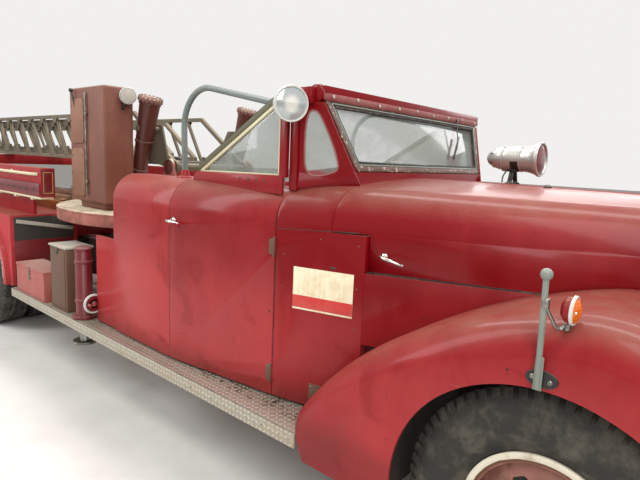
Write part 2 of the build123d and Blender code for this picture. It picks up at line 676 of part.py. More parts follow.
def make_windscreen():
    base_station, base_half, base_z = SCREEN_BASE
    top_station, top_half, top_z = SCREEN_TOP
    rise = Vector(behind(top_station) - behind(base_station), 0, top_z - base_z)
    pane = Plane(origin=(behind(base_station), 0, base_z), x_dir=(0, 1, 0),
                 z_dir=Vector(0, 1, 0).cross(rise) * -1)
    height = rise.length
    up = 1 if pane.y_dir.Z > 0 else -1
    corners = [(-base_half, 0), (base_half, 0), (top_half, up * height), (-top_half, up * height)]
    with BuildPart() as windscreen_frame:
        with BuildSketch(pane):
            with BuildLine():
                Polyline(*corners, close=True)
            make_face()
            offset(amount=-SCREEN_FRAME, mode=Mode.SUBTRACT)
        extrude(amount=SCREEN_THICK / 2, both=True)
        top = (behind(top_station), 0, top_z)
        with Locations((top[0] - 25, 0, top_z + HEADER_HEIGHT / 2 - 6)):
            Box(HEADER_DEPTH, 2 * top_half + 20, HEADER_HEIGHT)
        for side in (-1, 1):
            pillar = (PILLAR_X - PILLAR_WIDE, PILLAR_X)
            block(pillar, (side * (PILLAR_Y - 50), side * PILLAR_Y), (HOOD_CROWN_REAR - 80, top_z + 20))
            block((top_station + 20, PILLAR_X), (side * (top_half - 20), side * PILLAR_Y),
                  (top_z - 30, top_z + 50))
            bar((behind(PILLAR_X - 20), side * (PILLAR_Y - 22), HOOD_CROWN_REAR - 30),
                (behind(base_station + 8), side * (base_half - 2), HOOD_CROWN_REAR + 20), 44, 80)
        cowl_form(-SEAT_GAP, Mode.SUBTRACT)
        block((base_station - 20 - SEAT_GAP, base_station + 36 + SEAT_GAP), (-base_half - 11, base_half + 11),
              (1500, base_z), mode=Mode.SUBTRACT)
    save(windscreen_frame, "windscreen_frame")
    with BuildPart() as windscreen_glass:
        with BuildSketch(pane):
            with BuildLine():
                Polyline(*corners, close=True)
            make_face(mode=Mode.ADD)
            offset(amount=-SCREEN_FRAME - SEAT_GAP, mode=Mode.REPLACE)
        extrude(amount=GLASS_THICK / 2, both=True)
    save(windscreen_glass, "windscreen_glass")


def side_panel(stations, halves, thickness, base=BODY_BASE):
    """A stretch of the body's side with its round shoulder, lofted between two stations."""
    for part_of, mode in ((0, Mode.ADD), (thickness, Mode.SUBTRACT)):
        sections = []
        for station, half in zip(stations, halves):
            shift = part_of and (1 if station == max(stations) else -1)
            with BuildSketch(station_plane(station + shift)) as profile:
                with BuildLine():
                    outer = TangentArc((-half + part_of, WAIST_Z), (-half + 150, BELT_Z - part_of * 0.2),
                                       tangent=(0, 1))
                    Polyline(outer @ 1, (-half + 190 + part_of, BELT_Z - part_of * 0.2),
                             (-half + 190 + part_of, base - part_of),
                             (-half + part_of, base - part_of), outer @ 0)
                make_face()
            sections.append(profile.sketch)
        loft(sections, mode=mode)


def make_doors():
    with BuildPart() as door_right:
        side_panel((DOOR_FRONT, DOOR_REAR), (DOOR_FRONT_HALF, DOOR_REAR_HALF), DOOR_THICK)
        for hinge_z in DOOR_HINGES:
            reach = HINGE_TALL / 2 + SEAT_GAP
            with Locations((behind(DOOR_FRONT), -DOOR_FRONT_HALF, hinge_z)):
                Cylinder(HINGE_BARREL_R + 2, 2 * reach, mode=Mode.SUBTRACT)
                Cylinder(DOOR_PIN_R, 2 * reach + 30)
            for end in (-1, 1):
                with Locations((behind(DOOR_FRONT), -DOOR_FRONT_HALF, hinge_z + end * (reach + 10))):
                    Cylinder(HINGE_BARREL_R, 20)
        handle_x = behind(DOOR_REAR - 40)
        rod((handle_x, -DOOR_REAR_HALF - 40, 1373), (handle_x, -DOOR_REAR_HALF + 40, 1373), 9)
        bar((handle_x - 12, -DOOR_REAR_HALF - 40, 1373), (handle_x + 100, -DOOR_REAR_HALF - 28, 1373), 12, 22)
    save(door_right, "door_right")
    save(mirrored(door_right), "door_left")
    with BuildPart() as door_glass_right:
        glass_y = -DOOR_FRONT_HALF + 75
        with BuildSketch(side_plane(glass_y)):
            with BuildLine():
                Polyline((behind(DOOR_FRONT + 14), BELT_Z + SEAT_GAP), (behind(DOOR_FRONT + 14), 2075),
                         (behind(DOOR_FRONT + 60), 2075), (behind(DOOR_REAR - 50), BELT_Z + SEAT_GAP), close=True)
            make_face()
        extrude(amount=8)
    save(door_glass_right, "door_glass_right")
    save(mirrored(door_glass_right), "door_glass_left")


def make_cab():
    rear = DOOR_REAR + PANEL_GAP
    with BuildPart() as cab_body:
        block((FIREWALL + 20 + SEAT_GAP, CAB_BACK), (-FLOOR_HALF, FLOOR_HALF), (FRAME_TOP + SEAT_GAP, CAB_FLOOR))
        block((CAB_BACK - BITE, CAB_BACK + 28), (-1000, 1000), (FRAME_TOP + SEAT_GAP, 1600))
        block((2080, CAB_BACK), (-820, 820), (CAB_FLOOR - BITE, SEAT_BASE))
        loft([quarter_outline(rear, DOOR_REAR_HALF), quarter_outline(QUARTER_END, SKIRT_HALF + 12)])
        mirror(about=Plane.XZ)
        for side in (-1, 1):
            block((QUARTER_END - BITE, SKIRT_END), (side * SKIRT_HALF, side * (SKIRT_HALF - 30)),
                  (BODY_BASE, DECK_TOP - DECK_RIM - 40))
            block((1110, rear + 10), (side * (FLOOR_HALF + 30), side * (FLOOR_HALF - BITE)),
                  (BOARD_TOP + 10, CAB_FLOOR))
        with Locations((behind(TURNTABLE), 0, DECK_TOP)):
            Cylinder(DECK_R + DECK_CLEARANCE, 1000, align=(Align.CENTER, Align.CENTER, Align.MIN),
                     mode=Mode.SUBTRACT)
            Cylinder(DECK_R + DECK_CLEARANCE, DECK_RIM + 30, align=(Align.CENTER, Align.CENTER, Align.MAX),
                     mode=Mode.SUBTRACT)
    save(cab_body, "cab_body")
    with BuildPart() as seat:
        block((2070, 2570), (-790, 790), (SEAT_BASE + SEAT_GAP, 1230))
        block((2430, CAB_BACK - BITE - SEAT_GAP), (-790, 790), (1230 - BITE, 1570))
    save(seat, "seat")
    with BuildPart() as steering_column:
        hub = (behind(STEERING_WHEEL[0]), *STEERING_WHEEL[1:])
        foot = (behind(COLUMN_FOOT[0]), *COLUMN_FOOT[1:])
        rod(foot, hub, 24)
        block((COLUMN_FOOT[0] - 20, COLUMN_FOOT[0] + 24), (COLUMN_FOOT[1] - 20, COLUMN_FOOT[1] + 20),
              (CAB_FLOOR + SEAT_GAP, COLUMN_FOOT[2] + 10))
        axis = Vector(*hub) - Vector(*foot)
        wheel_plane = Plane(origin=hub, x_dir=(0, 1, 0), z_dir=axis)
        with BuildSketch(wheel_plane):
            Circle(232)
            Circle(204, mode=Mode.SUBTRACT)
            Circle(44)
            for turn in (0, 60, 120):
                Rectangle(420, 26, rotation=turn)
        extrude(amount=24)
    save(steering_column, "steering_column")


def quarter_outline(station, half):
    with BuildSketch(station_plane(station)) as profile:
        with BuildLine():
            outer = TangentArc((-half, WAIST_Z), (-half + 150, BELT_Z), tangent=(0, 1))
            Polyline(outer @ 1, (-QUARTER_INNER, BELT_Z), (-QUARTER_INNER, BODY_BASE), (-half, BODY_BASE),
                     outer @ 0)
        make_face()
    return profile.sketch


def make_top_hoops():
    with BuildPart() as top_hoops:
        foot = (behind(HOOP_REAR), -HOOP_Y, BELT_Z + 1)
        with BuildLine() as route:
            FilletPolyline(foot, (behind(HOOP_REAR + 20), -HOOP_Y, HOOP_TOP),
                           (behind(PILLAR_X + 5), -HOOP_Y, HOOP_END_Z), radius=230)
        with BuildSketch(Plane(origin=foot, z_dir=route.line % 0)):
            Circle(HOOP_R)
        sweep()
        mirror(about=Plane.XZ)
    save(top_hoops, "top_hoops")


def make_running_boards():
    board_rear = BAY_FRONT - 4
    with BuildPart() as running_boards:
        block((BOARD_FRONT, board_rear), (-BOARD_EDGE_Y, -BOARD_INNER_Y), (BOARD_TOP - SHEET, BOARD_TOP))
        block((BOARD_FRONT, board_rear), (-BOARD_EDGE_Y, -BOARD_EDGE_Y + SHEET),
              (BOARD_TOP - BOARD_DEPTH, BOARD_TOP))
        first, last, arm_top = BOARD_FRONT + 199, BAY_FRONT - 240, BOARD_TOP - SHEET + BITE
        for share in (0, 0.25, 0.5, 0.75, 1):
            station = first + (last - first) * share
            along = (station - 20, station + 20)
            block(along, (-BOARD_EDGE_Y + SHEET - BITE, -RAIL_Y - SEAT_GAP), (BOARD_TOP - 60, arm_top))
            block(along, (-RAIL_Y - 30, -RAIL_Y - SEAT_GAP), (arm_top + SEAT_GAP, FRAME_TOP - 40))
        with Locations((behind(JACK_STATION), -JACK_Y, BOARD_TOP)):
            Cylinder(JACK_SCREW_R + BITE, 60, mode=Mode.SUBTRACT)
        mirror(about=Plane.XZ)
    save(running_boards, "running_boards")


def make_lamps():
    with BuildPart() as spotlights:
        centre = Vector(behind(SPOTLIGHT[0]), -SPOTLIGHT[1], SPOTLIGHT[2])
        facing = Vector(1, -0.5, -0.1).normalized()
        with BuildSketch(Plane(origin=centre, z_dir=facing)):
            Circle(SPOTLIGHT_R)
        extrude(amount=40)
        with BuildSketch(Plane(origin=centre, z_dir=facing)):
            Circle(SPOTLIGHT_R - BITE)
        extrude(amount=-70, taper=32)
        rod(centre - facing * 40, (behind(PILLAR_X - PILLAR_WIDE / 2), -PILLAR_Y + 10, SPOTLIGHT[2] + 10), 14)
        block((PILLAR_X - 90, PILLAR_X + 40), (-PILLAR_Y - SEAT_GAP, -PILLAR_Y + 60), (1900, 2200),
              mode=Mode.SUBTRACT)
        mirror(about=Plane.XZ)
    save(spotlights, "spotlights")
    with BuildPart() as marker_posts:
        x = behind(MARKER_STATION)
        face = -BOARD_EDGE_Y - SEAT_GAP
        block((MARKER_STATION - 16, MARKER_STATION + 16), (face - 8, face), (1100, 1150))
        post_y = face - 8 - MARKER_R + BITE
        rod((x, post_y, 1096), (x - 8, post_y, MARKER_TOP), MARKER_R)
        with Locations((x - 8, post_y, MARKER_TOP)):
            Sphere(20)
        lamp = Vector(behind(MARKER_STATION - 60), -1142, 1358)
        rod((x, post_y, 1290), (lamp.X - 34, lamp.Y, lamp.Z - 34), 7)
        with BuildSketch(Plane(origin=lamp - Vector(32, 0, 0), z_dir=(1, 0, 0))):
            Circle(48)
        extrude(amount=64)
        mirror(about=Plane.XZ)
    save(marker_posts, "marker_posts")


def make_turntable():
    with BuildPart() as turntable_base:
        with Locations((behind(TURNTABLE), 0, FRAME_TOP + SEAT_GAP)):
            Cylinder(RING_R, RING_FACE - FRAME_TOP - 2 * SEAT_GAP, align=(Align.CENTER, Align.CENTER, Align.MIN))
    save(turntable_base, "turntable_base")
    with BuildPart() as turntable_deck:
        with Locations((behind(TURNTABLE), 0, DECK_TOP)):
            Cylinder(DECK_R, DECK_RIM, align=(Align.CENTER, Align.CENTER, Align.MAX))
        with Locations((behind(TURNTABLE), 0, DECK_TOP - DECK_PLATE)):
            Cylinder(DECK_R - SHEET, DECK_RIM, align=(Align.CENTER, Align.CENTER, Align.MAX), mode=Mode.SUBTRACT)
        with Locations((behind(TURNTABLE), 0, DECK_TOP)):
            Cylinder(RING_R, DECK_TOP - RING_FACE, align=(Align.CENTER, Align.CENTER, Align.MAX))
        for side in (-1, 1):
            with BuildSketch(side_plane(side * PIVOT_PLATE_Y if side < 0 else PIVOT_PLATE_Y + PIVOT_PLATE)):
                pivot_x, pivot_z = behind(PIVOT[0]), PIVOT[1]
                with BuildLine():
                    Polyline((pivot_x - 190, DECK_TOP - BITE), (pivot_x - 50, pivot_z + 20),
                             (pivot_x + 50, pivot_z + 20), (pivot_x + 210, DECK_TOP - BITE), close=True)
                make_face()
                with Locations((pivot_x, pivot_z)):
                    Circle(66)
                    Circle(PIVOT_R + SEAT_GAP, mode=Mode.SUBTRACT)
            extrude(amount=PIVOT_PLATE)
            for inner, outer in ((RAM_Y - 72, RAM_Y - 54), (RAM_Y + 54, RAM_Y + 72)):
                block((RAM_EYE[0] - 70, RAM_EYE[0] + 70), (side * inner, side * outer),
                      (DECK_TOP - BITE, RAM_EYE[1] + 30))
    save(turntable_deck, "turntable_deck")
    with BuildPart() as control_pedestal:
        block((3520, 4120), (-872, -622), (DECK_TOP + 60, 2290))
        block((3600, 4040), (-832, -662), (DECK_TOP + SEAT_GAP, DECK_TOP + 62))
    save(control_pedestal, "control_pedestal")


def truss(half, low, high, heel, tip):
    """Two trussed sides, with rungs seated between their bottom chords."""
    heel_x, tip_x = behind(heel), behind(tip)
    bottom, top = low + CHORD / 2, high - CHORD / 2
    rake = (top - bottom) * 1.5
    for side in (-1, 1):
        y = side * half
        bar((heel_x, y, bottom), (tip_x, y, bottom), CHORD, CHORD)
        bar((heel_x - rake, y, top), (tip_x + 40, y, top), CHORD, CHORD)
        bar((heel_x - 10, y, bottom), (heel_x - rake - 10, y, top), CHORD, CHORD)
        bar((tip_x + 60, y, bottom), (tip_x + 60, y, top), CHORD, CHORD)
        panel = heel_x - rake
        while panel - RUNG_PITCH - 260 > tip_x:
            bar((panel, y, bottom), (panel - 260, y, top), STRUT, STRUT)
            panel -= RUNG_PITCH
    rung, reach = heel_x - 200, half - CHORD / 2 - SEAT_GAP
    while rung > tip_x + 60:
        rod((rung, -reach, bottom), (rung, reach, bottom), RUNG_R)
        rung -= RUNG_PITCH


def make_ladder():
    for name, half, low, high, heel, tip in LADDER_SECTIONS:
        with BuildPart() as section:
            truss(half, low, high, heel, tip)
            if name == "ladder_base":
                ladder_heel(half, low)
        save(section, name)


def ladder_heel(half, low):
    """The heel's pivot tube, bored through the sides, and the lift plates with the rams' pins."""
    pivot_x, pivot_z = behind(PIVOT[0]), PIVOT[1]
    pin_x, pin_z = behind(RAM_PIN[0]), RAM_PIN[1]
    reach = PIVOT_PLATE_Y + PIVOT_PLATE
    for side in (-1, 1):
        rod((pivot_x, side * (half - CHORD / 2), pivot_z), (pivot_x, side * (half + CHORD / 2), pivot_z),
            PIVOT_R + HEEL_EYE)
    rod((pivot_x, -reach, pivot_z), (pivot_x, reach, pivot_z), PIVOT_R + SEAT_GAP, Mode.SUBTRACT)
    rod((pivot_x, -reach, pivot_z), (pivot_x, reach, pivot_z), PIVOT_R)
    inner = half + CHORD / 2 + SEAT_GAP
    outer = inner + LIFT_PLATE
    for side in (-1, 1):
        with BuildSketch(side_plane(-inner if side < 0 else outer)) as profile:
            with BuildLine():
                Polyline((pivot_x - 60, pivot_z - 10), (pivot_x - 60, pivot_z + 60), (pin_x + 50, pin_z + 40),
                         (pin_x - 60, pin_z + 40), (pin_x - 260, low + 10), (pivot_x - 200, low + 2), close=True)
            make_face()
            with Locations((pin_x, pin_z)):
                Circle(RAM_PIN_R + SEAT_GAP, mode=Mode.SUBTRACT)
        extrude(profile.sketch, amount=LIFT_PLATE)
        rod((pin_x, side * (inner + BITE), pin_z), (pin_x, side * (RAM_Y + 80), pin_z), RAM_PIN_R)


def ram_direction():
    run = Vector(behind(RAM_PIN[0]) - behind(RAM_EYE[0]), 0, RAM_PIN[1] - RAM_EYE[1])
    return run.normalized()


def make_hoist():
    along = ram_direction()
    pin = Vector(behind(RAM_PIN[0]), 0, RAM_PIN[1])
    eye = Vector(behind(RAM_EYE[0]), 0, RAM_EYE[1])
    with BuildPart() as hoist_barrels:
        for side in (-1, 1):
            shift = Vector(0, side * RAM_Y, 0)
            foot, head = pin + shift - along * RAM_BELOW_PIN, pin + shift + along * RAM_ABOVE_PIN
            with BuildSketch(Plane(origin=foot, x_dir=(0, 1, 0), z_dir=along)):
                Circle(RAM_FOOT_R)
            with BuildSketch(Plane(origin=head, x_dir=(0, 1, 0), z_dir=along)):
                Circle(RAM_CAP_R - 8)
            loft()
            with BuildSketch(Plane(origin=head, x_dir=(0, 1, 0), z_dir=along)):
                Circle(RAM_CAP_R)
            extrude(amount=18)
            with BuildSketch(Plane(origin=foot, x_dir=(0, 1, 0), z_dir=along)):
                Circle(ROD_R + SEAT_GAP)
            extrude(amount=RAM_BELOW_PIN - RAM_PIN_R - 20, mode=Mode.SUBTRACT)
            rod((pin.X, side * (RAM_Y - 100), pin.Z), (pin.X, side * (RAM_Y + 100), pin.Z), RAM_PIN_R + SEAT_GAP,
                mode=Mode.SUBTRACT)
    save(hoist_barrels, "hoist_barrels")
    with BuildPart() as hoist_rods:
        for side in (-1, 1):
            shift = Vector(0, side * RAM_Y, 0)
            tip = pin + shift - along * (RAM_PIN_R + 30)
            rod(tuple(eye + shift + along * 30), tuple(tip), ROD_R)
            rod((eye.X, side * (RAM_Y - 42), eye.Z), (eye.X, side * (RAM_Y + 42), eye.Z), 46)
    save(hoist_rods, "hoist_rods")


def make_rear_body():
    axle = (behind(WHEELBASE), 0, TYRE_R)
    with BuildPart() as rear_body:
        block((BAY_FRONT, BAY_REAR), (-BAY_OUTER, -BAY_INNER), (BODY_BASE, BAY_TOP))
        with Locations((axle[0], -FENDER_OUTER + 180, TYRE_R)):
            Cylinder(ARCH_R + 70, 360, rotation=(90, 0, 0))
        block((BAY_FRONT - 200, BAY_REAR), (-FENDER_OUTER - 100, 0), (-200, BODY_BASE), mode=Mode.SUBTRACT)
        mirror(about=Plane.XZ)
        with Locations(axle):
            Cylinder(ARCH_R, 2600, rotation=(90, 0, 0), mode=Mode.SUBTRACT)
        inner = BAY_INNER + BITE
        block((BAY_FRONT + 110, BAY_REAR), (-inner, inner), (BAY_TOP - 40, BAY_TOP))
        for station in BED_BEARERS:
            block((station - 30, station + 30), (-inner, inner), (FRAME_TOP + SEAT_GAP, BAY_TOP - 40 + BITE))
        for side in (-1, 1):
            wall = (side * (BED_WALL_Y + BED_WALL_THICK), side * BED_WALL_Y)
            web = (side * (BED_WALL_Y + 30), side * BED_WALL_Y)
            block((BED_WALL_FRONT, BAY_REAR), wall, (BED_WALL_BASE, BED_WALL_TOP))
            block((BAY_FRONT + 30, BAY_REAR), web, (BAY_TOP + SEAT_GAP, BED_WALL_BASE + BITE))
        rest = BED_WALL_Y - SEAT_GAP
        block((REST_STATION - 45, REST_STATION + 45), (-rest, rest), (1560, BED_REST_TOP))
        block((BAY_REAR - BITE, STEP_END), (-BAY_OUTER, BAY_OUTER), (BOARD_TOP, BOARD_TOP + 40))
        block((BAY_REAR - 30, BAY_REAR), (-inner, inner), (BODY_BASE, BAY_TOP - 30))
        with BuildSketch(side_plane(TOW_PLATE / 2)):
            tow_x, tow_z = behind(TOW_EYE[0]), TOW_EYE[1]
            with Locations(((tow_x + behind(BAY_REAR)) / 2, tow_z)):
                Rectangle(TOW_EYE[0] - BAY_REAR + 4, 110)
            with Locations((tow_x, tow_z)):
                Circle(55)
                Circle(TOW_EYE_R, mode=Mode.SUBTRACT)
        extrude(amount=TOW_PLATE)
    save(rear_body, "rear_body")


def make_side_boxes():
    with BuildPart() as side_lockers:
        block(LOCKER, (-BOX_OUTER + 20, -BOX_INNER), (BOARD_TOP + SEAT_GAP, LOCKER_TOP))
        mirror(about=Plane.XZ)
    save(side_lockers, "side_lockers")
    front, rear = TOOLBOX
    with BuildPart() as toolbox:
        block(TOOLBOX, (-BOX_OUTER, -BOX_INNER), (BOARD_TOP + SEAT_GAP, TOOLBOX_TOP))
        block((front + BOX_SHEET, rear - BOX_SHEET), (-BOX_OUTER + BOX_SHEET, -BOX_INNER - BOX_SHEET),
              (BOARD_TOP + BOX_SHEET, TOOLBOX_TOP + 1), mode=Mode.SUBTRACT)
        for station in (front + 100, rear - 100):
            block((station - 30, station + 30), (-BOX_INNER - BITE, 8 - BOX_INNER),
                  (TOOLBOX_TOP - 40, TOOLBOX_TOP - LID_PIN_R))
        block((front + 38, rear - 38), (-BOX_INNER - LID_PIN_R, 20 - BOX_INNER),
              (TOOLBOX_TOP - LID_PIN_R, TOOLBOX_TOP + 1), mode=Mode.SUBTRACT)
    save(toolbox, "toolbox")
    with BuildPart() as toolbox_lid:
        lid_base = TOOLBOX_TOP + SEAT_GAP
        block((front - LID_OVERHANG, rear + LID_OVERHANG), (-BOX_OUTER - LID_OVERHANG, LID_OVERHANG - BOX_INNER),
              (lid_base, TOOLBOX_TOP + 24))
        rod((behind(front + 40), LID_OVERHANG - BOX_INNER, lid_base),
            (behind(rear - 40), LID_OVERHANG - BOX_INNER, lid_base), LID_PIN_R)
    save(toolbox_lid, "toolbox_lid")


def make_jacks():
    x = behind(JACK_STATION)
    with BuildPart() as jacks:
        with Locations((x, -JACK_Y, BOARD_TOP + SEAT_GAP)):
            Cylinder(JACK_R, JACK_TOP - BOARD_TOP, align=(Align.CENTER, Align.CENTER, Align.MIN))
            Cylinder(JACK_R + 28, 22, align=(Align.CENTER, Align.CENTER, Align.MIN))
        rod((x, -JACK_Y, 640), (x + 150, -JACK_Y, 640), 12)
        rod((x + 140, -JACK_Y, 640), (x + 156, -JACK_Y, 640), 70)
        with Locations((x, -JACK_Y, BOARD_TOP - 1)):
            Cylinder(JACK_SCREW_R + SEAT_GAP, JACK_FOOT_Z + JACK_SCREW + 10 - BOARD_TOP,
                     align=(Align.CENTER, Align.CENTER, Align.MIN), mode=Mode.SUBTRACT)
        mirror(about=Plane.XZ)
    save(jacks, "jacks")
    with BuildPart() as jack_foot_right:
        with Locations((x, -JACK_Y, JACK_FOOT_Z)):
            Cylinder(90, 20, align=(Align.CENTER, Align.CENTER, Align.MIN))
            Cylinder(JACK_SCREW_R, JACK_SCREW, align=(Align.CENTER, Align.CENTER, Align.MIN))
    save(jack_foot_right, "jack_foot_right")
    save(mirrored(jack_foot_right), "jack_foot_left")


def make_ground_ladders():
    with BuildPart() as ground_ladders:
        for y in (-420, 420):
            for rail in (-170, 170):
                block((BAY_FRONT + 160, FRAME_TAIL), (y + rail - 18, y + rail + 18),
                      (BAY_TOP + SEAT_GAP, BAY_TOP + 90))
            for step in range(8):
                x = behind(BAY_FRONT + 310 + step * 310)
                rod((x, y - 160, BAY_TOP + 45), (x, y + 160, BAY_TOP + 45), 14)
    save(ground_ladders, "ground_ladders")


make_front_wheels()
make_rear_wheels()
make_frame()
make_axles()
make_steering()
make_engine()
make_front_end()
finish_fenders(make_front_fenders())
make_cowl()
make_hood()
make_siren()
make_windscreen()
make_doors()
make_cab()
make_top_hoops()
make_running_boards()
make_lamps()
make_turntable()
make_ladder()
make_hoist()
make_rear_body()
make_side_boxes()
make_jacks()
make_ground_ladders()
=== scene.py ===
import math

import bmesh
import bpy
from mathutils import Matrix, Vector
from mathutils.bvhtree import BVHTree


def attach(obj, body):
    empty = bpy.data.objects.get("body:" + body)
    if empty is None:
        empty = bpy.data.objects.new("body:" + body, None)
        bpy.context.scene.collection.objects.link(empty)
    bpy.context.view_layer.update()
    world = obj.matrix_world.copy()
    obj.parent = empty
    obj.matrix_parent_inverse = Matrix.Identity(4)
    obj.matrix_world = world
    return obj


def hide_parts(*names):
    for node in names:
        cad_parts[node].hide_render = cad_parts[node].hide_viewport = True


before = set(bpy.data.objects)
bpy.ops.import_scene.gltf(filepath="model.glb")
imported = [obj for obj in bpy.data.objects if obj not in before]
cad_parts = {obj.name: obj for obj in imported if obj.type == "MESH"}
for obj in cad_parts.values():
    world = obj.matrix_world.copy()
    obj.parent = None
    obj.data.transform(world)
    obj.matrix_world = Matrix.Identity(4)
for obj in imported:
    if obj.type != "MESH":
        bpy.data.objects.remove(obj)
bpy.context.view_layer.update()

bl_info = {
    "name": "Fire engine with a turntable ladder",
    "version": (1, 0, 0),
    "blender": (4, 5, 0),
    "location": "3D View > Sidebar > Fire Engine",
    "description": "Dresses the packed fire engine with its paint, trim, glass, lamps and fittings",
    "category": "Object",
}

# Metres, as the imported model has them: X forward, Y to the vehicle's left, Z up
FRONT_AXLE = 4.65
REAR_AXLE = -0.8
AXLE_Z = 0.525
BELT = 1.637
TURNTABLE_X = 0.85
DECK_TOP = 1.305
HINGE_HEIGHTS = (1.33, 0.64)
AHEAD, LEFT, RIGHT, UP = (1, 0, 0), (0, 1, 0), (0, -1, 0), (0, 0, 1)
FRONT_WHEELS = ("front_wheel_right", "front_wheel_left")
REAR_WHEELS = ("rear_wheels_right", "rear_wheels_left")
FULL_TURN = 2 * math.pi


def linear(red, green, blue):
    """A colour seen as red, green and blue of 255, in the linear values that a shader takes."""
    def one(value):
        value /= 255
        return value / 12.92 if value <= 0.04045 else ((value + 0.055) / 1.055) ** 2.4
    return one(red), one(green), one(blue)


def side_y(x):
    """The Y of the body's right side below the shoulder, from the cowl to the quarter panel."""
    stops = ((0.0, -1.078), (1.65, -1.078), (2.36, -1.083), (3.181, -0.985), (3.692, -0.885))
    for (x0, y0), (x1, y1) in zip(stops, stops[1:]):
        if x <= x1:
            return y0 + (y1 - y0) * (x - x0) / (x1 - x0)
    return -0.885


# Materials


class Wire:
    """A socket of a material. Arithmetic on it adds Math nodes to that material."""

    def __init__(self, finish, socket):
        self.finish, self.socket = finish, socket

    def math(self, operation, *values, clamp=False):
        return self.finish.node("Math", dict(operation=operation, use_clamp=clamp), *values)

    def __add__(self, other):
        return self.math("ADD", self, other)

    def __sub__(self, other):
        return self.math("SUBTRACT", self, other)

    def __rsub__(self, other):
        return self.math("SUBTRACT", other, self)

    def __mul__(self, other):
        return self.math("MULTIPLY", self, other)

    def __truediv__(self, other):
        return self.math("DIVIDE", self, other)

    def __pow__(self, other):
        return self.math("POWER", self, other)

    __radd__, __rmul__ = __add__, __mul__

    def size(self):
        return self.math("ABSOLUTE", self)

    def part(self):
        return self.math("FRACT", self)

    def held(self):
        return self.math("ADD", self, 0.0, clamp=True)

    def step(self, low, high):
        """0 below low, 1 above high and smooth between; the other way round where low is above high."""
        return self.finish.node("MapRange", dict(interpolation_type="SMOOTHSTEP"), self, low, high, 0.0, 1.0)


class Finish:
    """A material in the making: its Principled shader, its nodes and the patterns that it reads."""

    def __init__(self, name, **sockets):
        self.material = bpy.data.materials.new(name)
        self.material.use_nodes = True
        self.tree = self.material.node_tree
        self.shader = self.tree.nodes["Principled BSDF"]
        for socket, value in sockets.items():
            self.shader.inputs[socket.replace("_", " ")].default_value = value
        self.place = self.node("TexCoord", {}, out="Object")

    def node(self, kind, settings, *values, out=0, **named):
        """A node of that kind, with its settings first and then its sockets' values or links."""
        node = self.tree.nodes.new("ShaderNode" + kind)
        for name, value in settings.items():
            if name == "stops":
                stops = node.color_ramp.elements
                while len(stops) < len(value):
                    stops.new(1)
                for stop, (position, colour) in zip(stops, value):
                    stop.position, stop.color = position, (*colour, 1)
            else:
                setattr(node, name, value)
        sockets = list(enumerate(values)) + [(name.replace("_", " "), value) for name, value in named.items()]
        for name, value in sockets:
            if isinstance(value, Wire):
                self.tree.links.new(value.socket, node.inputs[name])
            elif value is not None:
                node.inputs[name].default_value = value
        return Wire(self, node.outputs[out])

    def axes(self, vector=None):
        """The three parts of a vector, of the place on the object if none is given."""
        split = self.node("SeparateXYZ", {}, vector or self.place)
        return [Wire(self, socket) for socket in split.socket.node.outputs]

    def up(self):
        """How far the surface faces up: 1 on top, 0 on a side and -1 below."""
        return self.axes(self.node("TexCoord", {}, out="Normal"))[2]

    def moved(self, offset=(0, 0, 0), turn=(0, 0, 0), scale=(1, 1, 1), vector=None):
        return self.node("Mapping", {}, vector or self.place, offset, turn, scale)

    def noise(self, scale, detail=4, rough=0.55, bend=0.0, vector=None):
        return self.node("TexNoise", {}, Vector=vector or self.place, Scale=scale, Detail=detail,
            Roughness=rough, Distortion=bend)

    def cells(self, scale):
        return self.node("TexVoronoi", {}, Vector=self.place, Scale=scale, out="Distance")

    def mix(self, share, first, second):
        """Two colours or links mixed, by how much of the second."""
        first, second = [c if isinstance(c, Wire) else (*c[:3], 1) for c in (first, second)]
        return self.node("Mix", dict(data_type="RGBA", clamp_factor=True), share, None, None, None, None,
            None, first, second, out=2)

    def bump(self, height, strength, distance=0.001):
        return self.node("Bump", {}, Strength=strength, Distance=distance, Height=height)

    def drive(self, **sockets):
        """Link these values to the shader, and give the material."""
        for name, value in sockets.items():
            self.tree.links.new(value.socket, self.shader.inputs[name.replace("_", " ")])
        return self.material


def weathered(name, colour, faded, bare, fade=0.5, chips=0.5, dust=0.3, rough=0.42, grain=1.0, metal=0.0,
        coat=0.0, dust_colour=None):
    """Old enamel: clouds of fading, run marks, chips down to what is bare, and dust where it faces up."""
    colour, faded, bare = linear(*colour), linear(*faded), linear(*bare)
    dust_colour = linear(*dust_colour) if dust_colour else (0.42, 0.34, 0.27)
    paint = Finish(name, Metallic=metal, Coat_Weight=coat, Coat_Roughness=0.25)
    cloud = paint.noise(1.7 * grain, 5, 0.6, 0.4)
    runs = paint.noise(1.0, 4, 0.6, 0.2, vector=paint.moved(scale=(9 * grain, 9 * grain, 0.9 * grain)))
    speck = paint.noise(60 * grain, 3, 0.7)
    flake = paint.noise(11 * grain, 6, 0.72, 0.3)
    up = paint.up()
    worn = (cloud * 0.75 + runs * 0.35 - 0.28).step(0.1, 0.6) * fade
    body = paint.mix(worn, colour, faded)
    body = paint.mix((speck - 0.5) * 0.5 + 0.12, body, [value * 0.55 for value in colour])
    gone = (flake + speck * 0.12).step(0.8 - 0.12 * chips, 0.83 - 0.12 * chips)
    body = paint.mix(gone, body, bare)
    settled = (up.step(0.25, 0.95) * (cloud * 0.5 + speck * 0.7)).held() * dust
    body = paint.mix(settled, body, dust_colour)
    return paint.drive(
        Base_Color=body,
        Roughness=(worn * 0.16 + gone * 0.25 + settled * 0.35 + (speck - 0.5) * 0.12 + rough).held(),
        Normal=paint.bump(speck * 0.25 - gone, 0.22, 0.0012))


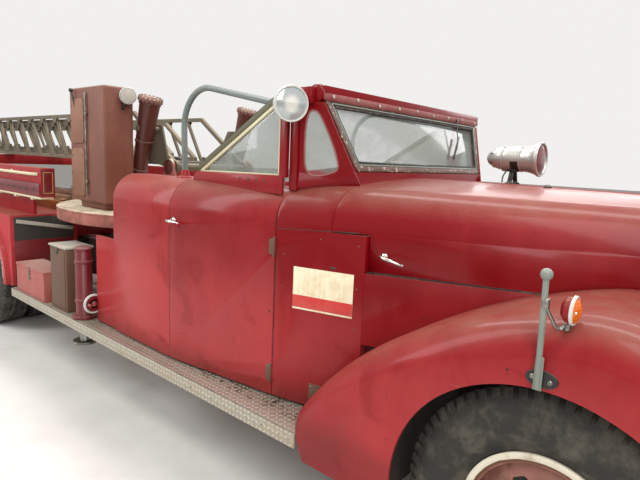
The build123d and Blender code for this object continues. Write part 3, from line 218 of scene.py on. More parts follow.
def body_red(look):
    """The coach paint: crimson gone chalky, paler low down and behind the door as chalk and painted
    reflection of the floor and lamps, darker over the cowl as painted shade, with brown oxidation and painted
    sky sheen on top, and small chips.
    """
    paint = Finish("faded_red_enamel", Coat_Weight=0.2, Coat_Roughness=0.13, Specular_IOR_Level=0.15)
    cloud = paint.noise(1.35, 4, 0.55, 0.5)
    patch = paint.noise(3.1, 5, 0.6, 0.9)
    runs = paint.noise(1.0, 4, 0.6, 0.1, vector=paint.moved(scale=(14, 14, 1.1)))
    grime = paint.noise(7.5, 8, 0.72, 0.5)
    speck = paint.noise(85, 4, 0.7)
    pits = paint.noise(26, 2, 0.5)
    x, y, z = paint.axes()
    up = paint.up()
    chalk = (cloud * 0.9 + runs * 0.3 + grime * 0.25 - 0.35).step(0.12, 0.62)
    # Paler low down and behind the door: partly chalking, partly painted reflection of the pale floor and
    # lamps.
    low = (z + (patch - 0.5) * 0.25).step(1.36, 0.86)
    quarter_chalk_and_sheen = x.step(2.42, 2.3)
    # Painted shade: the cowl and the rear of the hood side are kept darker and less chalky, for the dark that
    # they reflect.
    cowl_painted_shade = x.step(3.16, 3.24) * x.step(4.05, 3.75)
    share = (chalk * 0.35 + low * 0.55 + quarter_chalk_and_sheen * 0.35 - cowl_painted_shade * 0.3).held()
    red = paint.mix(share, look.paint, look.chalk)
    red = paint.mix(patch.step(0.56, 0.68) * 0.5, red, look.fresh)
    # Brown oxidation and dust on surfaces that face up, partly painted reflection of the bright sky on those
    # tops.
    bloom_and_sheen = (up.step(0.3, 0.92) * (grime * 1.3 + cloud * 0.6 - 0.35).held()).held() * 0.85
    red = paint.mix(bloom_and_sheen, red, look.bloom_and_sheen)
    dirt = (z.step(0.66, 0.52) + (grime.step(0.6, 0.75) * 0.3)).held() * (speck * 0.9 + 0.1)
    red = paint.mix(dirt * 0.55, red, linear(62, 40, 34))
    chip = (pits + speck * 0.1).step(0.815, 0.83)
    red = paint.mix(chip, red, linear(74, 40, 34))
    scratch = paint.noise(1.0, 3, 0.6, 0.0, vector=paint.moved(turn=(0.2, 0.5, 0.3), scale=(3, 3, 160)))
    thin = scratch.step(0.735, 0.75) * patch.step(0.52, 0.6)
    red = paint.mix(thin * 0.45, red, linear(214, 140, 120))
    gloss = (bloom_and_sheen * 0.22 + chalk * 0.1 + chip * 0.3 + dirt * 0.35 + (speck - 0.5) * 0.1 + look.gloss).held()
    return paint.drive(Base_Color=red, Roughness=gloss,
        Normal=paint.bump(speck * 0.2 - chip * 0.8 + grime * 0.15, 0.14, 0.001))


def tyre_rubber():
    rubber = Finish("worn_tyre_rubber")
    dust = rubber.noise(9, 6, 0.65, 0.2)
    fine = rubber.noise(140, 3, 0.7)
    colour = rubber.mix(dust.step(0.42, 0.7), linear(38, 36, 32), linear(84, 79, 68))
    colour = rubber.mix(fine.step(0.6, 0.75) * 0.4, colour, linear(24, 23, 21))
    return rubber.drive(Base_Color=colour, Roughness=dust * 0.2 + 0.66,
        Normal=rubber.bump(fine + dust, 0.3, 0.001))


def wheel_enamel(name, wheel_x, look):
    """The wheel's paint by its distance from the axle: a pale flange, a rusty bead and a red-brown disc."""
    paint = Finish(name)
    x, y, z = paint.axes()
    radius = ((x - wheel_x) ** 2 + (z - AXLE_Z) ** 2) ** 0.5
    cloud = paint.noise(9, 6, 0.65, 0.4)
    speck = paint.noise(90, 3, 0.7)
    ring = radius + (cloud - 0.5) * 0.012
    rust = paint.mix(speck, linear(120, 72, 40), linear(84, 48, 30))
    white = paint.mix(cloud.step(0.5, 0.7) * 0.6, linear(226, 216, 196), linear(160, 140, 112))
    disc = paint.mix(cloud.step(0.38, 0.66), look.wheel, linear(108, 66, 54))
    disc = paint.mix((speck + cloud * 0.5).step(0.95, 1.02), disc, linear(52, 34, 28))
    colour = paint.mix(ring.step(0.252, 0.259), disc, rust)
    colour = paint.mix(ring.step(0.266, 0.27), colour, white)
    return paint.drive(Base_Color=colour, Roughness=speck * 0.2 + 0.42,
        Normal=paint.bump(speck + cloud, 0.2, 0.001))


def tread_plate_metal(look):
    """Raised lozenges that cross in turn, worn bright on top, with black paint left between them."""
    plate = Finish("tread_plate", Metallic=0.55)
    x, y, z = plate.axes()
    pitch = look.tread_pitch
    flat = plate.up().step(0.5, 0.6)
    u = x / pitch
    v = (y * flat + z * (1 - flat)) / pitch
    cell = u.math("FLOOR", u) + v.math("FLOOR", v)
    turn = (cell * 0.5).part() * 4 - 1
    a = u.part() - 0.5
    b = (v.part() - 0.5) * turn
    long, short = (a + b) / 0.66, (a - b) / 0.24
    lozenge = ((long ** 2) + (short ** 2)).step(1.0, 0.62)
    cloud = plate.noise(6, 7, 0.7, 0.6)
    blotch = plate.noise(34, 5, 0.75, 0.4)
    speck = plate.noise(210, 3, 0.8)
    inboard = y.size().step(1.125, 1.05)
    black = (blotch * 0.75 + cloud * 0.4 + speck * 0.25 - lozenge * 0.1).step(0.7, 0.76) * inboard * flat
    dust = (cloud * 0.8 + blotch * 0.4 - 0.2).step(0.2, 0.7)
    metal = plate.mix(lozenge, linear(166, 160, 146), linear(214, 208, 196))
    metal = plate.mix(dust * 0.65, metal, linear(176, 160, 132))
    metal = plate.mix(cloud.step(0.62, 0.72) * 0.5, metal, linear(104, 84, 62))
    metal = plate.mix(black * 0.9, metal, linear(34, 30, 27))
    return plate.drive(Base_Color=metal, Roughness=dust * 0.3 + 0.36,
        Normal=plate.bump(lozenge + speck * 0.15, 0.6, 0.003))


def bare_metal(name, colour, dull, rough=0.34, scale=30, rust=0.25):
    bare = Finish(name, Metallic=1.0)
    cloud = bare.noise(scale * 0.25, 6, 0.6, 0.3)
    fine = bare.noise(scale * 6, 3, 0.7)
    tone = bare.mix(cloud.step(0.38, 0.68), linear(*colour), linear(*dull))
    spots = (cloud * 0.5 + fine * 0.6).step(0.68, 0.74)
    tone = bare.mix(spots * rust, tone, linear(104, 66, 44))
    return bare.drive(Base_Color=tone, Roughness=(cloud * 0.22 + spots * 0.3 + rough - 0.1).held(),
        Normal=bare.bump(fine * 0.4 - spots, 0.12, 0.001))


def dusty_glass(name, tint_and_painted_shade, clear=0.42, dust=0.5):
    """Old flat glass: it lets part of the view through, with a film of dust; its darker grey-green cover is
    partly painted shade of the dark space behind it.
    """
    glass = Finish(name, Roughness=0.06, IOR=1.5, Coat_Weight=0.4)
    smear = glass.noise(5, 6, 0.65, 1.2)
    speck = glass.noise(120, 3, 0.75)
    wipe = glass.noise(1.0, 3, 0.6, 0.6, vector=glass.moved(scale=(7, 1.5, 7)))
    film = (smear * 0.6 + wipe * 0.5 - 0.3).step(0.0, 0.7) * dust
    # The tint and the base cover: partly the glass's own tint, partly painted shade of the dark space behind
    # it.
    colour = glass.mix(film, linear(*tint_and_painted_shade), linear(184, 186, 174))
    cover = (film * 0.55 + speck.step(0.66, 0.72) * 0.3 + clear).held()
    return glass.drive(Base_Color=colour, Alpha=cover, Roughness=(film * 0.4 + 0.04).held())


def lens_glass(name, colour):
    """A moulded lamp lens, ribbed inside."""
    colour = linear(*colour)
    lens = Finish(name, Roughness=0.15, Coat_Weight=0.5, Coat_Roughness=0.05, Specular_IOR_Level=0.3)
    turns = lens.axes()[2] * 620
    ribs = turns.math("SINE", turns) * 0.5 + 0.5
    depth = lens.noise(45, 3, 0.6)
    tone = lens.mix((ribs * 0.6 + depth * 0.5).held(), [value * 0.55 for value in colour], colour)
    return lens.drive(Base_Color=tone, Normal=lens.bump(ribs, 0.35, 0.001))


def lens_with_painted_reflection(name, centre):
    """A clear lens with the bowl's reflection painted on: a pale painted reflection in the middle, a grey
    ring, and pale painted reflection again at the rim.
    """
    lens = Finish(name, Roughness=0.08, Coat_Weight=1.0, Coat_Roughness=0.03, Metallic=0.3)
    x, y, z = lens.axes()
    radius = ((x - centre[0]) ** 2 + (y.size() - centre[1]) ** 2 + (z - centre[2]) ** 2) ** 0.5
    ring = radius + (lens.noise(11, 3, 0.6, 1.5) - 0.5) * 0.03
    # Painted reflection of the bright bowl behind the lens, ring by ring.
    tone = lens.mix(ring.step(0.018, 0.055), linear(240, 240, 228), linear(176, 184, 184))
    tone = lens.mix(ring.step(0.07, 0.092), tone, linear(224, 230, 228))
    return lens.drive(Base_Color=tone, Normal=lens.bump(lens.noise(60, 2, 0.5), 0.1, 0.001))


def rubber_seal():
    seal = Finish("perished_rubber")
    crack = seal.cells(70)
    dust = seal.noise(24, 5, 0.7)
    tone = seal.mix(dust.step(0.45, 0.7), linear(26, 25, 24), linear(92, 86, 76))
    return seal.drive(Base_Color=tone, Roughness=dust * 0.2 + 0.6, Normal=seal.bump(crack, 0.3, 0.001))


def cracked_leather(look):
    hide = Finish("cracked_leather", Coat_Weight=0.1)
    pores = hide.cells(260)
    crease = hide.noise(14, 8, 0.7, 1.0)
    worn = hide.noise(3.2, 5, 0.6)
    tone = hide.mix(worn.step(0.4, 0.7), look.leather, linear(96, 74, 58))
    tone = hide.mix(crease.step(0.56, 0.6) * 0.7, tone, linear(40, 26, 20))
    return hide.drive(Base_Color=tone, Roughness=worn * 0.3 + 0.4,
        Normal=hide.bump(pores + crease, 0.35, 0.0012))


def varnished_wood():
    wood = Finish("varnished_ladder_wood", Coat_Weight=0.35, Coat_Roughness=0.3)
    grain = wood.noise(1.0, 8, 0.65, 1.4, vector=wood.moved(scale=(2.2, 46, 46)))
    tone = wood.mix(grain.step(0.35, 0.68), linear(178, 126, 72), linear(112, 70, 38))
    dirt = wood.noise(5, 5, 0.6)
    tone = wood.mix(dirt.step(0.5, 0.75) * 0.5, tone, linear(84, 66, 50))
    return wood.drive(Base_Color=tone, Roughness=grain * 0.25 + 0.35, Normal=wood.bump(grain, 0.2, 0.001))


def painted_sign():
    """A cream enamel sheet with water stains and no writing."""
    sign = Finish("cream_enamel_sheet", Coat_Weight=0.3)
    stain = sign.noise(9, 6, 0.65, 1.0)
    runs = sign.noise(1.0, 4, 0.6, 0.2, vector=sign.moved(scale=(60, 60, 5)))
    tone = sign.mix((stain * 0.7 + runs * 0.4 - 0.2).step(0.2, 0.6), linear(246, 238, 208),
        linear(222, 196, 150))
    return sign.drive(Base_Color=tone, Roughness=stain * 0.2 + 0.3)


def deck_dust():
    """Turntable plate under a crust of dust and flaked paint."""
    deck = Finish("dusty_deck")
    cloud = deck.noise(5, 7, 0.7, 0.6)
    crumb = deck.noise(75, 5, 0.8)
    flat = deck.up().step(0.4, 0.8)
    dust = deck.mix(cloud.step(0.36, 0.66), linear(222, 208, 184), linear(176, 156, 126))
    dust = deck.mix(crumb.step(0.55, 0.66) * 0.75, dust, linear(98, 78, 62))
    rim = deck.mix(cloud.step(0.4, 0.66), linear(166, 100, 88), linear(118, 66, 56))
    rim = deck.mix(crumb.step(0.62, 0.7), rim, linear(190, 164, 140))
    return deck.drive(Base_Color=deck.mix(flat, rim, dust), Roughness=crumb * 0.3 + 0.6,
        Normal=deck.bump(crumb + cloud, 0.5, 0.002))


FINISHES = {}


def make_finishes(look):
    """Every finish by name, its colours as seen. The look holds those that a user may change."""
    rust = (96, 54, 36)
    FINISHES.update(
        red=body_red(look),
        dull_red=weathered("dull_red_enamel", (138, 44, 42), (176, 104, 96), rust, 0.6, 0.5, 0.75, 0.45,
            coat=0.15),
        deep_red=weathered("deep_crimson_enamel", (108, 14, 24), (142, 54, 56), rust, 0.5, 0.4, 0.4, 0.36,
            coat=0.3),
        chassis=weathered("chassis_black", (44, 40, 37), (78, 70, 62), rust, 0.6, 0.7, 0.6, 0.6),
        engine=weathered("engine_grey_green", (86, 92, 80), (112, 108, 96), rust, 0.6, 0.9, 0.6, 0.5),
        tyre=tyre_rubber(),
        front_wheel=wheel_enamel("front_wheel_enamel", FRONT_AXLE, look),
        rear_wheel=wheel_enamel("rear_wheel_enamel", REAR_AXLE, look),
        tread=tread_plate_metal(look),
        steel=bare_metal("dull_steel", (150, 150, 144), (104, 100, 92)),
        chrome=bare_metal("worn_chrome", (222, 220, 214), (166, 160, 150), 0.18, scale=18, rust=0.15),
        grey_post=weathered("grey_green_post", (128, 136, 126), (158, 160, 148), (70, 62, 50), 0.5, 0.6, 0.3,
            0.4, grain=3),
        hoop=weathered("grey_hoop_paint", (112, 122, 118), (146, 148, 140), (84, 66, 54), 0.5, 0.6, 0.2, 0.4,
            grain=2),
        glass=dusty_glass("dusty_window_glass", (132, 140, 134)),
        lamp_white=weathered("white_lamp_enamel", (214, 216, 208), (182, 182, 172), rust, 0.5, 0.35, 0.3,
            0.32, grain=3, coat=0.3),
        clear_lens=lens_glass("clear_ribbed_lens", (226, 228, 214)),
        spot_lens=lens_with_painted_reflection("spot_lens_painted_reflection", (3.3, 1.02, 2.05)),
        red_lens=lens_glass("red_ribbed_lens", (128, 14, 26)),
        amber_lens=lens_glass("amber_ribbed_lens", (242, 112, 14)),
        rubber=rubber_seal(),
        siren=weathered("dull_silver_siren", (198, 196, 190), (168, 162, 152), (70, 62, 54), 0.6, 0.6, 0.15,
            0.3, grain=5, metal=0.6),
        pale_plate=weathered("dusty_pale_plate", (176, 170, 156), (212, 206, 194), rust, 0.7, 0.6, 0.7, 0.55,
            grain=4, dust_colour=(206, 198, 182)),
        screen=weathered("rusty_screen_frame", (92, 66, 56), (126, 100, 86), (206, 192, 176), 0.6, 1.3, 0.3,
            0.55, grain=4),
        header=weathered("padded_header_vinyl", (142, 70, 68), (180, 132, 124), (104, 58, 52), 0.8, 0.6, 0.8,
            0.5, grain=3, dust_colour=(196, 168, 156)),
        olive=weathered("olive_strip_paint", (84, 82, 56), (112, 104, 78), (42, 40, 30), 0.6, 0.5, 0.3, 0.5,
            grain=3),
        cream=weathered("cream_strip_paint", (222, 214, 178), (196, 184, 150), (120, 98, 70), 0.5, 0.6, 0.2,
            0.4, grain=3),
        ladder=weathered("olive_ladder_paint", (96, 88, 72), (142, 128, 106), (88, 60, 42), 0.7, 0.7, 0.8,
            0.55, dust_colour=(176, 156, 132)),
        pedestal=weathered("rusty_brown_primer", (112, 62, 46), (148, 96, 76), (176, 120, 86), 0.8, 0.7, 0.4,
            0.5, grain=1.6),
        cover=weathered("brown_cover_plate", (132, 86, 66), (158, 112, 86), (190, 134, 92), 0.7, 0.5, 0.4,
            0.5, grain=2.4),
        ram=weathered("dark_red_brown_ram", (82, 34, 28), (110, 56, 46), (140, 92, 72), 0.6, 0.5, 0.5, 0.42,
            grain=2, coat=0.2),
        cap=weathered("dusty_pink_cap", (124, 84, 74), (172, 134, 120), (96, 60, 50), 0.7, 0.6, 0.8, 0.6,
            grain=4),
        locker=weathered("brown_locker_paint", (96, 66, 48), (122, 92, 70), (60, 44, 34), 0.6, 0.5, 0.5, 0.55,
            grain=1.5),
        toolbox=weathered("chalky_toolbox_red", (168, 82, 76), (186, 118, 108), (88, 58, 50), 0.8, 0.6, 0.8,
            0.5, grain=3),
        black=weathered("satin_black", (30, 29, 28), (58, 54, 50), (92, 84, 74), 0.5, 0.6, 0.5, 0.42,
            grain=4),
        deck=deck_dust(),
        leather=cracked_leather(look),
        wood=varnished_wood(),
        sign=painted_sign(),
        sign_red=weathered("red_sign_band", (204, 52, 48), (222, 120, 106), (236, 222, 196), 0.5, 0.2, 0.1,
            0.35, grain=4),
        gold=weathered("old_gold_line", (206, 160, 92), (186, 150, 104), (120, 40, 36), 0.5, 0.7, 0.2, 0.4,
            grain=3),
    )


# Modelling


def nothing_selected():
    if bpy.context.mode != "OBJECT":
        bpy.ops.object.mode_set(mode="OBJECT")
    bpy.ops.object.select_all(action="DESELECT")


def pick(*pieces):
    """Select these objects alone; the last is the active one."""
    nothing_selected()
    for piece in pieces:
        piece.select_set(True)
    bpy.context.view_layer.objects.active = pieces[-1]


def editing(piece, mode="FACE"):
    pick(piece)
    bpy.ops.object.mode_set(mode="EDIT")
    bpy.ops.mesh.select_mode(type=mode)
    bpy.ops.mesh.select_all(action="SELECT")


def done():
    bpy.ops.object.mode_set(mode="OBJECT")
    return bpy.context.view_layer.objects.active


def faces_outward():
    """In edit mode, select everything and turn its faces outwards."""
    bpy.ops.mesh.select_all(action="SELECT")
    bpy.ops.mesh.normals_make_consistent(inside=False)


def choose(test):
    """In edit mode, select only the faces whose middle and normal pass the test."""
    bpy.ops.mesh.select_all(action="DESELECT")
    mesh = bpy.context.view_layer.objects.active.data
    shape = bmesh.from_edit_mesh(mesh)
    for face in shape.faces:
        if test(face.calc_center_median(), face.normal):
            face.select = True
    bmesh.update_edit_mesh(mesh)


def applied(piece, kind, **settings):
    """Put a modifier on the piece and apply it."""
    pick(piece)
    modifier = piece.modifiers.new(kind.title(), kind)
    for name, value in settings.items():
        setattr(modifier, name, value)
    bpy.ops.object.modifier_apply(modifier=modifier.name)
    return piece


def eased(piece, width=0.003, segments=2, angle=35):
    """Round the piece's edges, as pressed or cast metal has them."""
    return applied(piece, "BEVEL", width=width, segments=segments, limit_method="ANGLE",
        angle_limit=math.radians(angle), harden_normals=False)


def smooth(piece, angle=32):
    pick(piece)
    bpy.ops.object.shade_smooth_by_angle(angle=math.radians(angle))
    return piece


def settle(piece):
    """Put the object's place, turn and size into its mesh."""
    pick(piece)
    bpy.ops.object.transform_apply(location=True, rotation=True, scale=True)
    return piece


def slab(low, high, width=0.003, segments=2):
    """A box between two corners with its edges rounded."""
    low, high = Vector(low), Vector(high)
    nothing_selected()
    bpy.ops.mesh.primitive_cube_add(size=1, location=(low + high) / 2, scale=high - low)
    piece = settle(bpy.context.view_layer.objects.active)
    if width:
        editing(piece, "EDGE")
        bpy.ops.mesh.bevel(offset=width, segments=segments, affect="EDGES")
        done()
    return piece


def turned_to(direction):
    return Vector(direction).to_track_quat("Z", "Y")


def bar(start, end, radius, end_radius=None, sides=20, width=0.0):
    """A round bar or cone between two points."""
    start, end = Vector(start), Vector(end)
    nothing_selected()
    bpy.ops.mesh.primitive_cone_add(vertices=sides, radius1=radius,
        radius2=radius if end_radius is None else end_radius, depth=(end - start).length,
        location=(start + end) / 2, rotation=turned_to(end - start).to_euler())
    piece = settle(bpy.context.view_layer.objects.active)
    return eased(piece, width, 2, 50) if width else piece


def flat_bar(start, end, wide, deep, up=UP, width=0.002):
    """A straight bar of rectangular section between two points; deep is measured along up."""
    start, end = Vector(start), Vector(end)
    along = (end - start).normalized()
    side = Vector(up).cross(along).normalized()
    turn = Matrix((along, side, along.cross(side))).transposed().to_euler()
    nothing_selected()
    bpy.ops.mesh.primitive_cube_add(size=1, location=(start + end) / 2, rotation=turn,
        scale=((end - start).length, wide, deep))
    piece = settle(bpy.context.view_layer.objects.active)
    if width:
        editing(piece, "EDGE")
        bpy.ops.mesh.bevel(offset=width, segments=2, affect="EDGES")
        done()
    return piece


def strip_along(points, wide, deep, up, width=0.002):
    """Flat bars from each point to the next, joined."""
    return merged(*[flat_bar(start, end, wide, deep, up, width) for start, end in zip(points, points[1:])])


def chain(points):
    """A chain of edges, drawn by extruding one point after another; it is left in edit mode."""
    points = [Vector(point) for point in points]
    nothing_selected()
    bpy.ops.mesh.primitive_plane_add(size=0.01, location=points[0])
    settle(bpy.context.view_layer.objects.active)
    editing(bpy.context.view_layer.objects.active, "VERT")
    bpy.ops.mesh.merge(type="CENTER")
    for start, end in zip(points, points[1:]):
        bpy.ops.mesh.extrude_vertices_move(TRANSFORM_OT_translate={"value": end - start})
    bpy.ops.mesh.select_all(action="SELECT")


def lathe(centre, axis, outline, steps=40):
    """A turned shape. The outline's points are radius and distance along the axis from the centre."""
    centre, axis = Vector(centre), Vector(axis).normalized()
    out = axis.orthogonal().normalized()
    chain([centre + out * radius + axis * along for radius, along in outline])
    bpy.ops.mesh.spin(steps=steps, angle=FULL_TURN, center=centre, axis=axis)
    bpy.ops.mesh.select_all(action="SELECT")
    bpy.ops.mesh.remove_doubles(threshold=0.00005)
    bpy.ops.mesh.normals_make_consistent(inside=False)
    return done()


def sheet_of(points, push, width=0.0):
    """A flat outline given a thickness by pushing it along a vector."""
    chain(points)
    bpy.ops.mesh.edge_face_add()
    bpy.ops.mesh.extrude_region_move(TRANSFORM_OT_translate={"value": Vector(push)})
    faces_outward()
    piece = done()
    return eased(piece, width) if width else piece


def pipe(points, radius, steps=6, sides=8, radii=None):
    """A round tube along a smooth line through the points."""
    curve = bpy.data.curves.new("line", "CURVE")
    curve.dimensions, curve.bevel_depth, curve.bevel_resolution = "3D", radius, max(0, sides // 2 - 2)
    curve.resolution_u, curve.use_fill_caps = steps, True
    line = curve.splines.new("BEZIER")
    line.bezier_points.add(len(points) - 1)
    for index, (knot, point) in enumerate(zip(line.bezier_points, points)):
        knot.co = point
        knot.handle_left_type = knot.handle_right_type = "AUTO"
        knot.radius = radii[index] if radii else 1
    piece = bpy.data.objects.new("pipe", curve)
    bpy.context.scene.collection.objects.link(piece)
    pick(piece)
    bpy.ops.object.convert(target="MESH")
    return bpy.context.view_layer.objects.active


def merged(*pieces):
    """These objects joined into one."""
    pieces = [piece for piece in pieces if piece]
    if len(pieces) > 1:
        pick(*pieces)
        bpy.ops.object.join()
    return pieces[-1]


def copy_of(piece, offset=(0, 0, 0), turn=None, about=(0, 0, 0)):
    """A copy with a mesh of its own, moved or turned about a point."""
    other = bpy.data.objects.new(piece.name, piece.data.copy())
    bpy.context.scene.collection.objects.link(other)
    if turn is not None:
        about = Vector(about)
        other.data.transform(Matrix.Translation(about) @ turn.to_4x4() @ Matrix.Translation(-about))
    other.data.transform(Matrix.Translation(Vector(offset)))
    return other


def ring_of(piece, count, centre, axis):
    """Copies of a piece all round an axis, joined."""
    axis = Vector(axis).normalized()
    copies = [copy_of(piece, turn=Matrix.Rotation(FULL_TURN * step / count, 3, axis), about=centre)
        for step in range(count)]
    bpy.data.objects.remove(piece)
    return merged(*copies)


def other_side(piece):
    """The same piece on the vehicle's other side, its faces turned out again."""
    other = copy_of(piece)
    pick(other)
    other.data.transform(Matrix.Scale(-1, 4, LEFT))
    editing(other)
    bpy.ops.mesh.flip_normals()
    return done()


def skin(node, width=0.0025, angle=38, segments=2):
    """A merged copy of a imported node's mesh with its sharp edges rounded."""
    piece = bpy.data.objects.new(node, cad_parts[node].data.copy())
    bpy.context.scene.collection.objects.link(piece)
    piece.data.materials.clear()
    editing(piece)
    bpy.ops.mesh.remove_doubles(threshold=0.00002)
    bpy.ops.mesh.tris_convert_to_quads(face_threshold=math.radians(1), shape_threshold=math.pi)
    bpy.ops.mesh.dissolve_limited(angle_limit=math.radians(0.4))
    done()
    if width:
        eased(piece, width, segments, angle)
    return smooth(piece)


def finish_piece(piece, name, finish, body, *nodes):
    """Name the piece, give it its finish and body, and the nodes that it stands for."""
    piece.name = piece.data.name = name
    piece.data.materials.clear()
    piece.data.materials.append(FINISHES[finish])
    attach(piece, body)
    if nodes:
        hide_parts(*nodes)
    return piece


def both_sides(piece, name, finish, bodies=("chassis", "chassis"), nodes=None, angle=32):
    """A right-hand piece and its left-hand copy."""
    smooth(piece, angle)
    other = other_side(piece)
    finish_piece(piece, name + "_right", finish, bodies[0], *([nodes + "_right"] if nodes else []))
    finish_piece(other, name + "_left", finish, bodies[1], *([nodes + "_left"] if nodes else []))
    return piece, other


def one(piece, name, finish, body="chassis", *nodes, angle=32):
    smooth(piece, angle)
    return finish_piece(piece, name, finish, body, *nodes)


def dressed(node, name, finish, body, width, segments=2):
    """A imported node's own shape with its edges rounded, which stands for that node."""
    return one(skin(node, width, segments=segments), name, finish, body, node)


def screws(points, outward, radius=0.006, proud=0.002):
    """Small round heads at these points, all facing one way."""
    outward = Vector(outward).normalized()
    heads = []
    for point in points:
        start = Vector(point) - outward * 0.001
        heads.append(lathe(start, outward, ((0, 0), (radius, 0), (radius, proud * 0.5), (radius * 0.7, proud),
            (0, proud * 1.2)), 10))
    return merged(*heads)


# Sizes and colours


def colour_property(name, description, red, green, blue):
    return bpy.props.FloatVectorProperty(name=name, description=description, subtype="COLOR", size=3, min=0,
        max=1, default=linear(red, green, blue))


class FireEngineLook(bpy.types.PropertyGroup):
    """Colours and small sizes that a user would change."""

    paint: colour_property("Paint", "The coach paint where it has kept its colour", 124, 5, 15)
    fresh: colour_property("Fresh paint", "Patches that something has kept the light from", 132, 3, 14)
    # The chalked colour also paints the reflection of the floor low down and behind the door.
    chalk: colour_property("Chalked paint", "The paint where it has gone chalky", 180, 56, 58)
    # Brown oxidation and dust on surfaces that face up, with a painted sky reflection in it.
    bloom_and_sheen: colour_property("Bloom", "Brown dust and oxidation on surfaces that face up", 134, 92, 76)
    wheel: colour_property("Wheel disc", "The disc of each wheel", 146, 96, 84)
    leather: colour_property("Seat leather", "The seat's hide", 58, 44, 38)
    gloss: bpy.props.FloatProperty(name="Roughness", description="Roughness of the coach paint", default=0.34,
        min=0.1, max=0.9)
    tread_pitch: bpy.props.FloatProperty(name="Tread pitch",
        description="Distance between the plate's lozenges", default=0.03, min=0.01, max=0.1, unit="LENGTH",
        precision=4)
    edge: bpy.props.FloatProperty(name="Panel edge", description="Radius of the folded panel edges",
        default=0.004, min=0.0005, max=0.02, unit="LENGTH", precision=4)
    lugs: bpy.props.IntProperty(name="Tyre lugs", description="Shoulder blocks round each tyre", default=62,
        min=12, max=120)
    cap_bolts: bpy.props.IntProperty(name="Cap bolts", description="Bolts round the cap of each ram",
        default=16, min=6, max=32)


class Build:
    """What the operators share: where they are listed and how they end."""

    bl_options = {"REGISTER", "UNDO"}

    def execute(self, context):
        self.make(context.scene.fire_engine)
        return {"FINISHED"}


class ENGINE_OT_stage(Build, bpy.types.Operator):
    """Floor, soft studio lights and the camera at the photograph's angle"""
    bl_idname = "fire_engine.stage"
    bl_label = "Stage"

    def make(self, look):
        scene = bpy.context.scene
        scene.view_settings.view_transform = "Standard"
        nothing_selected()
        bpy.ops.mesh.primitive_plane_add(size=120, location=(0, 0, 0))
        floor = settle(bpy.context.view_layer.objects.active)
        floor.name = "floor"
        pale = Finish("pale_floor", Roughness=0.75)
        grain = pale.noise(3, 5, 0.6)
        tone = pale.mix(grain.step(0.4, 0.7), linear(226, 224, 219), linear(219, 217, 212))
        floor.data.materials.append(pale.drive(Base_Color=tone))

        world = bpy.data.worlds.new("studio")
        scene.world = world
        world.use_nodes = True
        tree = world.node_tree
        paths = tree.nodes.new("ShaderNodeLightPath")
        shows = paths.outputs["Is Camera Ray"]
        for ray in ("Is Glossy Ray", "Is Transmission Ray"):
            either = tree.nodes.new("ShaderNodeMath")
            either.operation = "MAXIMUM"
            tree.links.new(shows, either.inputs[0])
            tree.links.new(paths.outputs[ray], either.inputs[1])
            shows = either.outputs[0]
        strength = tree.nodes.new("ShaderNodeMapRange")
        strength.inputs["To Min"].default_value = 0.31
        strength.inputs["To Max"].default_value = 0.88
        tree.links.new(shows, strength.inputs["Value"])
        back = tree.nodes["Background"]
        back.inputs["Color"].default_value = (1.0, 0.99, 0.97, 1)
        tree.links.new(strength.outputs["Result"], back.inputs["Strength"])

        for name, place, aim, size, power in (
                ("high_front", (7.5, -4.5, 6.0), (3.2, -0.5, 1.2), (2.4, 9.0), 430),
                ("high_rear", (-2.5, -5.5, 6.0), (0.5, 0.0, 1.2), (2.4, 9.0), 430),
                ("overhead", (3.0, 1.0, 7.5), (3.0, 0.0, 1.0), (12.0, 1.3), 520),
                ("far_side", (1.0, 7.0, 4.5), (1.5, 0.0, 1.2), (9.0, 3.0), 360)):
            lamp = bpy.data.lights.new(name, "AREA")
            lamp.shape, lamp.size, lamp.size_y, lamp.energy = "RECTANGLE", *size, power
            light = bpy.data.objects.new(name, lamp)
            scene.collection.objects.link(light)
            light.location = place
            light.rotation_euler = (Vector(aim) - Vector(place)).to_track_quat("-Z", "Y").to_euler()

        # Where the photograph was taken from: 1.79 m up, close beside the front fender
        yaw, pitch, roll = 2.2848, -0.1523, 0.0438
        ahead = Vector((math.cos(pitch) * math.cos(yaw), math.cos(pitch) * math.sin(yaw), math.sin(pitch)))
        right = ahead.cross(Vector(UP)).normalized()
        up = right.cross(ahead)
        right, up = (right * math.cos(roll) + up * math.sin(roll),
            up * math.cos(roll) - right * math.sin(roll))
        eye = bpy.data.cameras.new("camera")
        eye.sensor_width, eye.lens, eye.clip_end = 36, 36 * 522.13 / 640, 200
        camera = bpy.data.objects.new("camera", eye)
        scene.collection.objects.link(camera)
        turn = Matrix((right, up, -ahead)).transposed().to_4x4()
        camera.matrix_world = Matrix.Translation((0.4704 + FRONT_AXLE, -2.8664, 1.7896)) @ turn
        scene.camera = camera


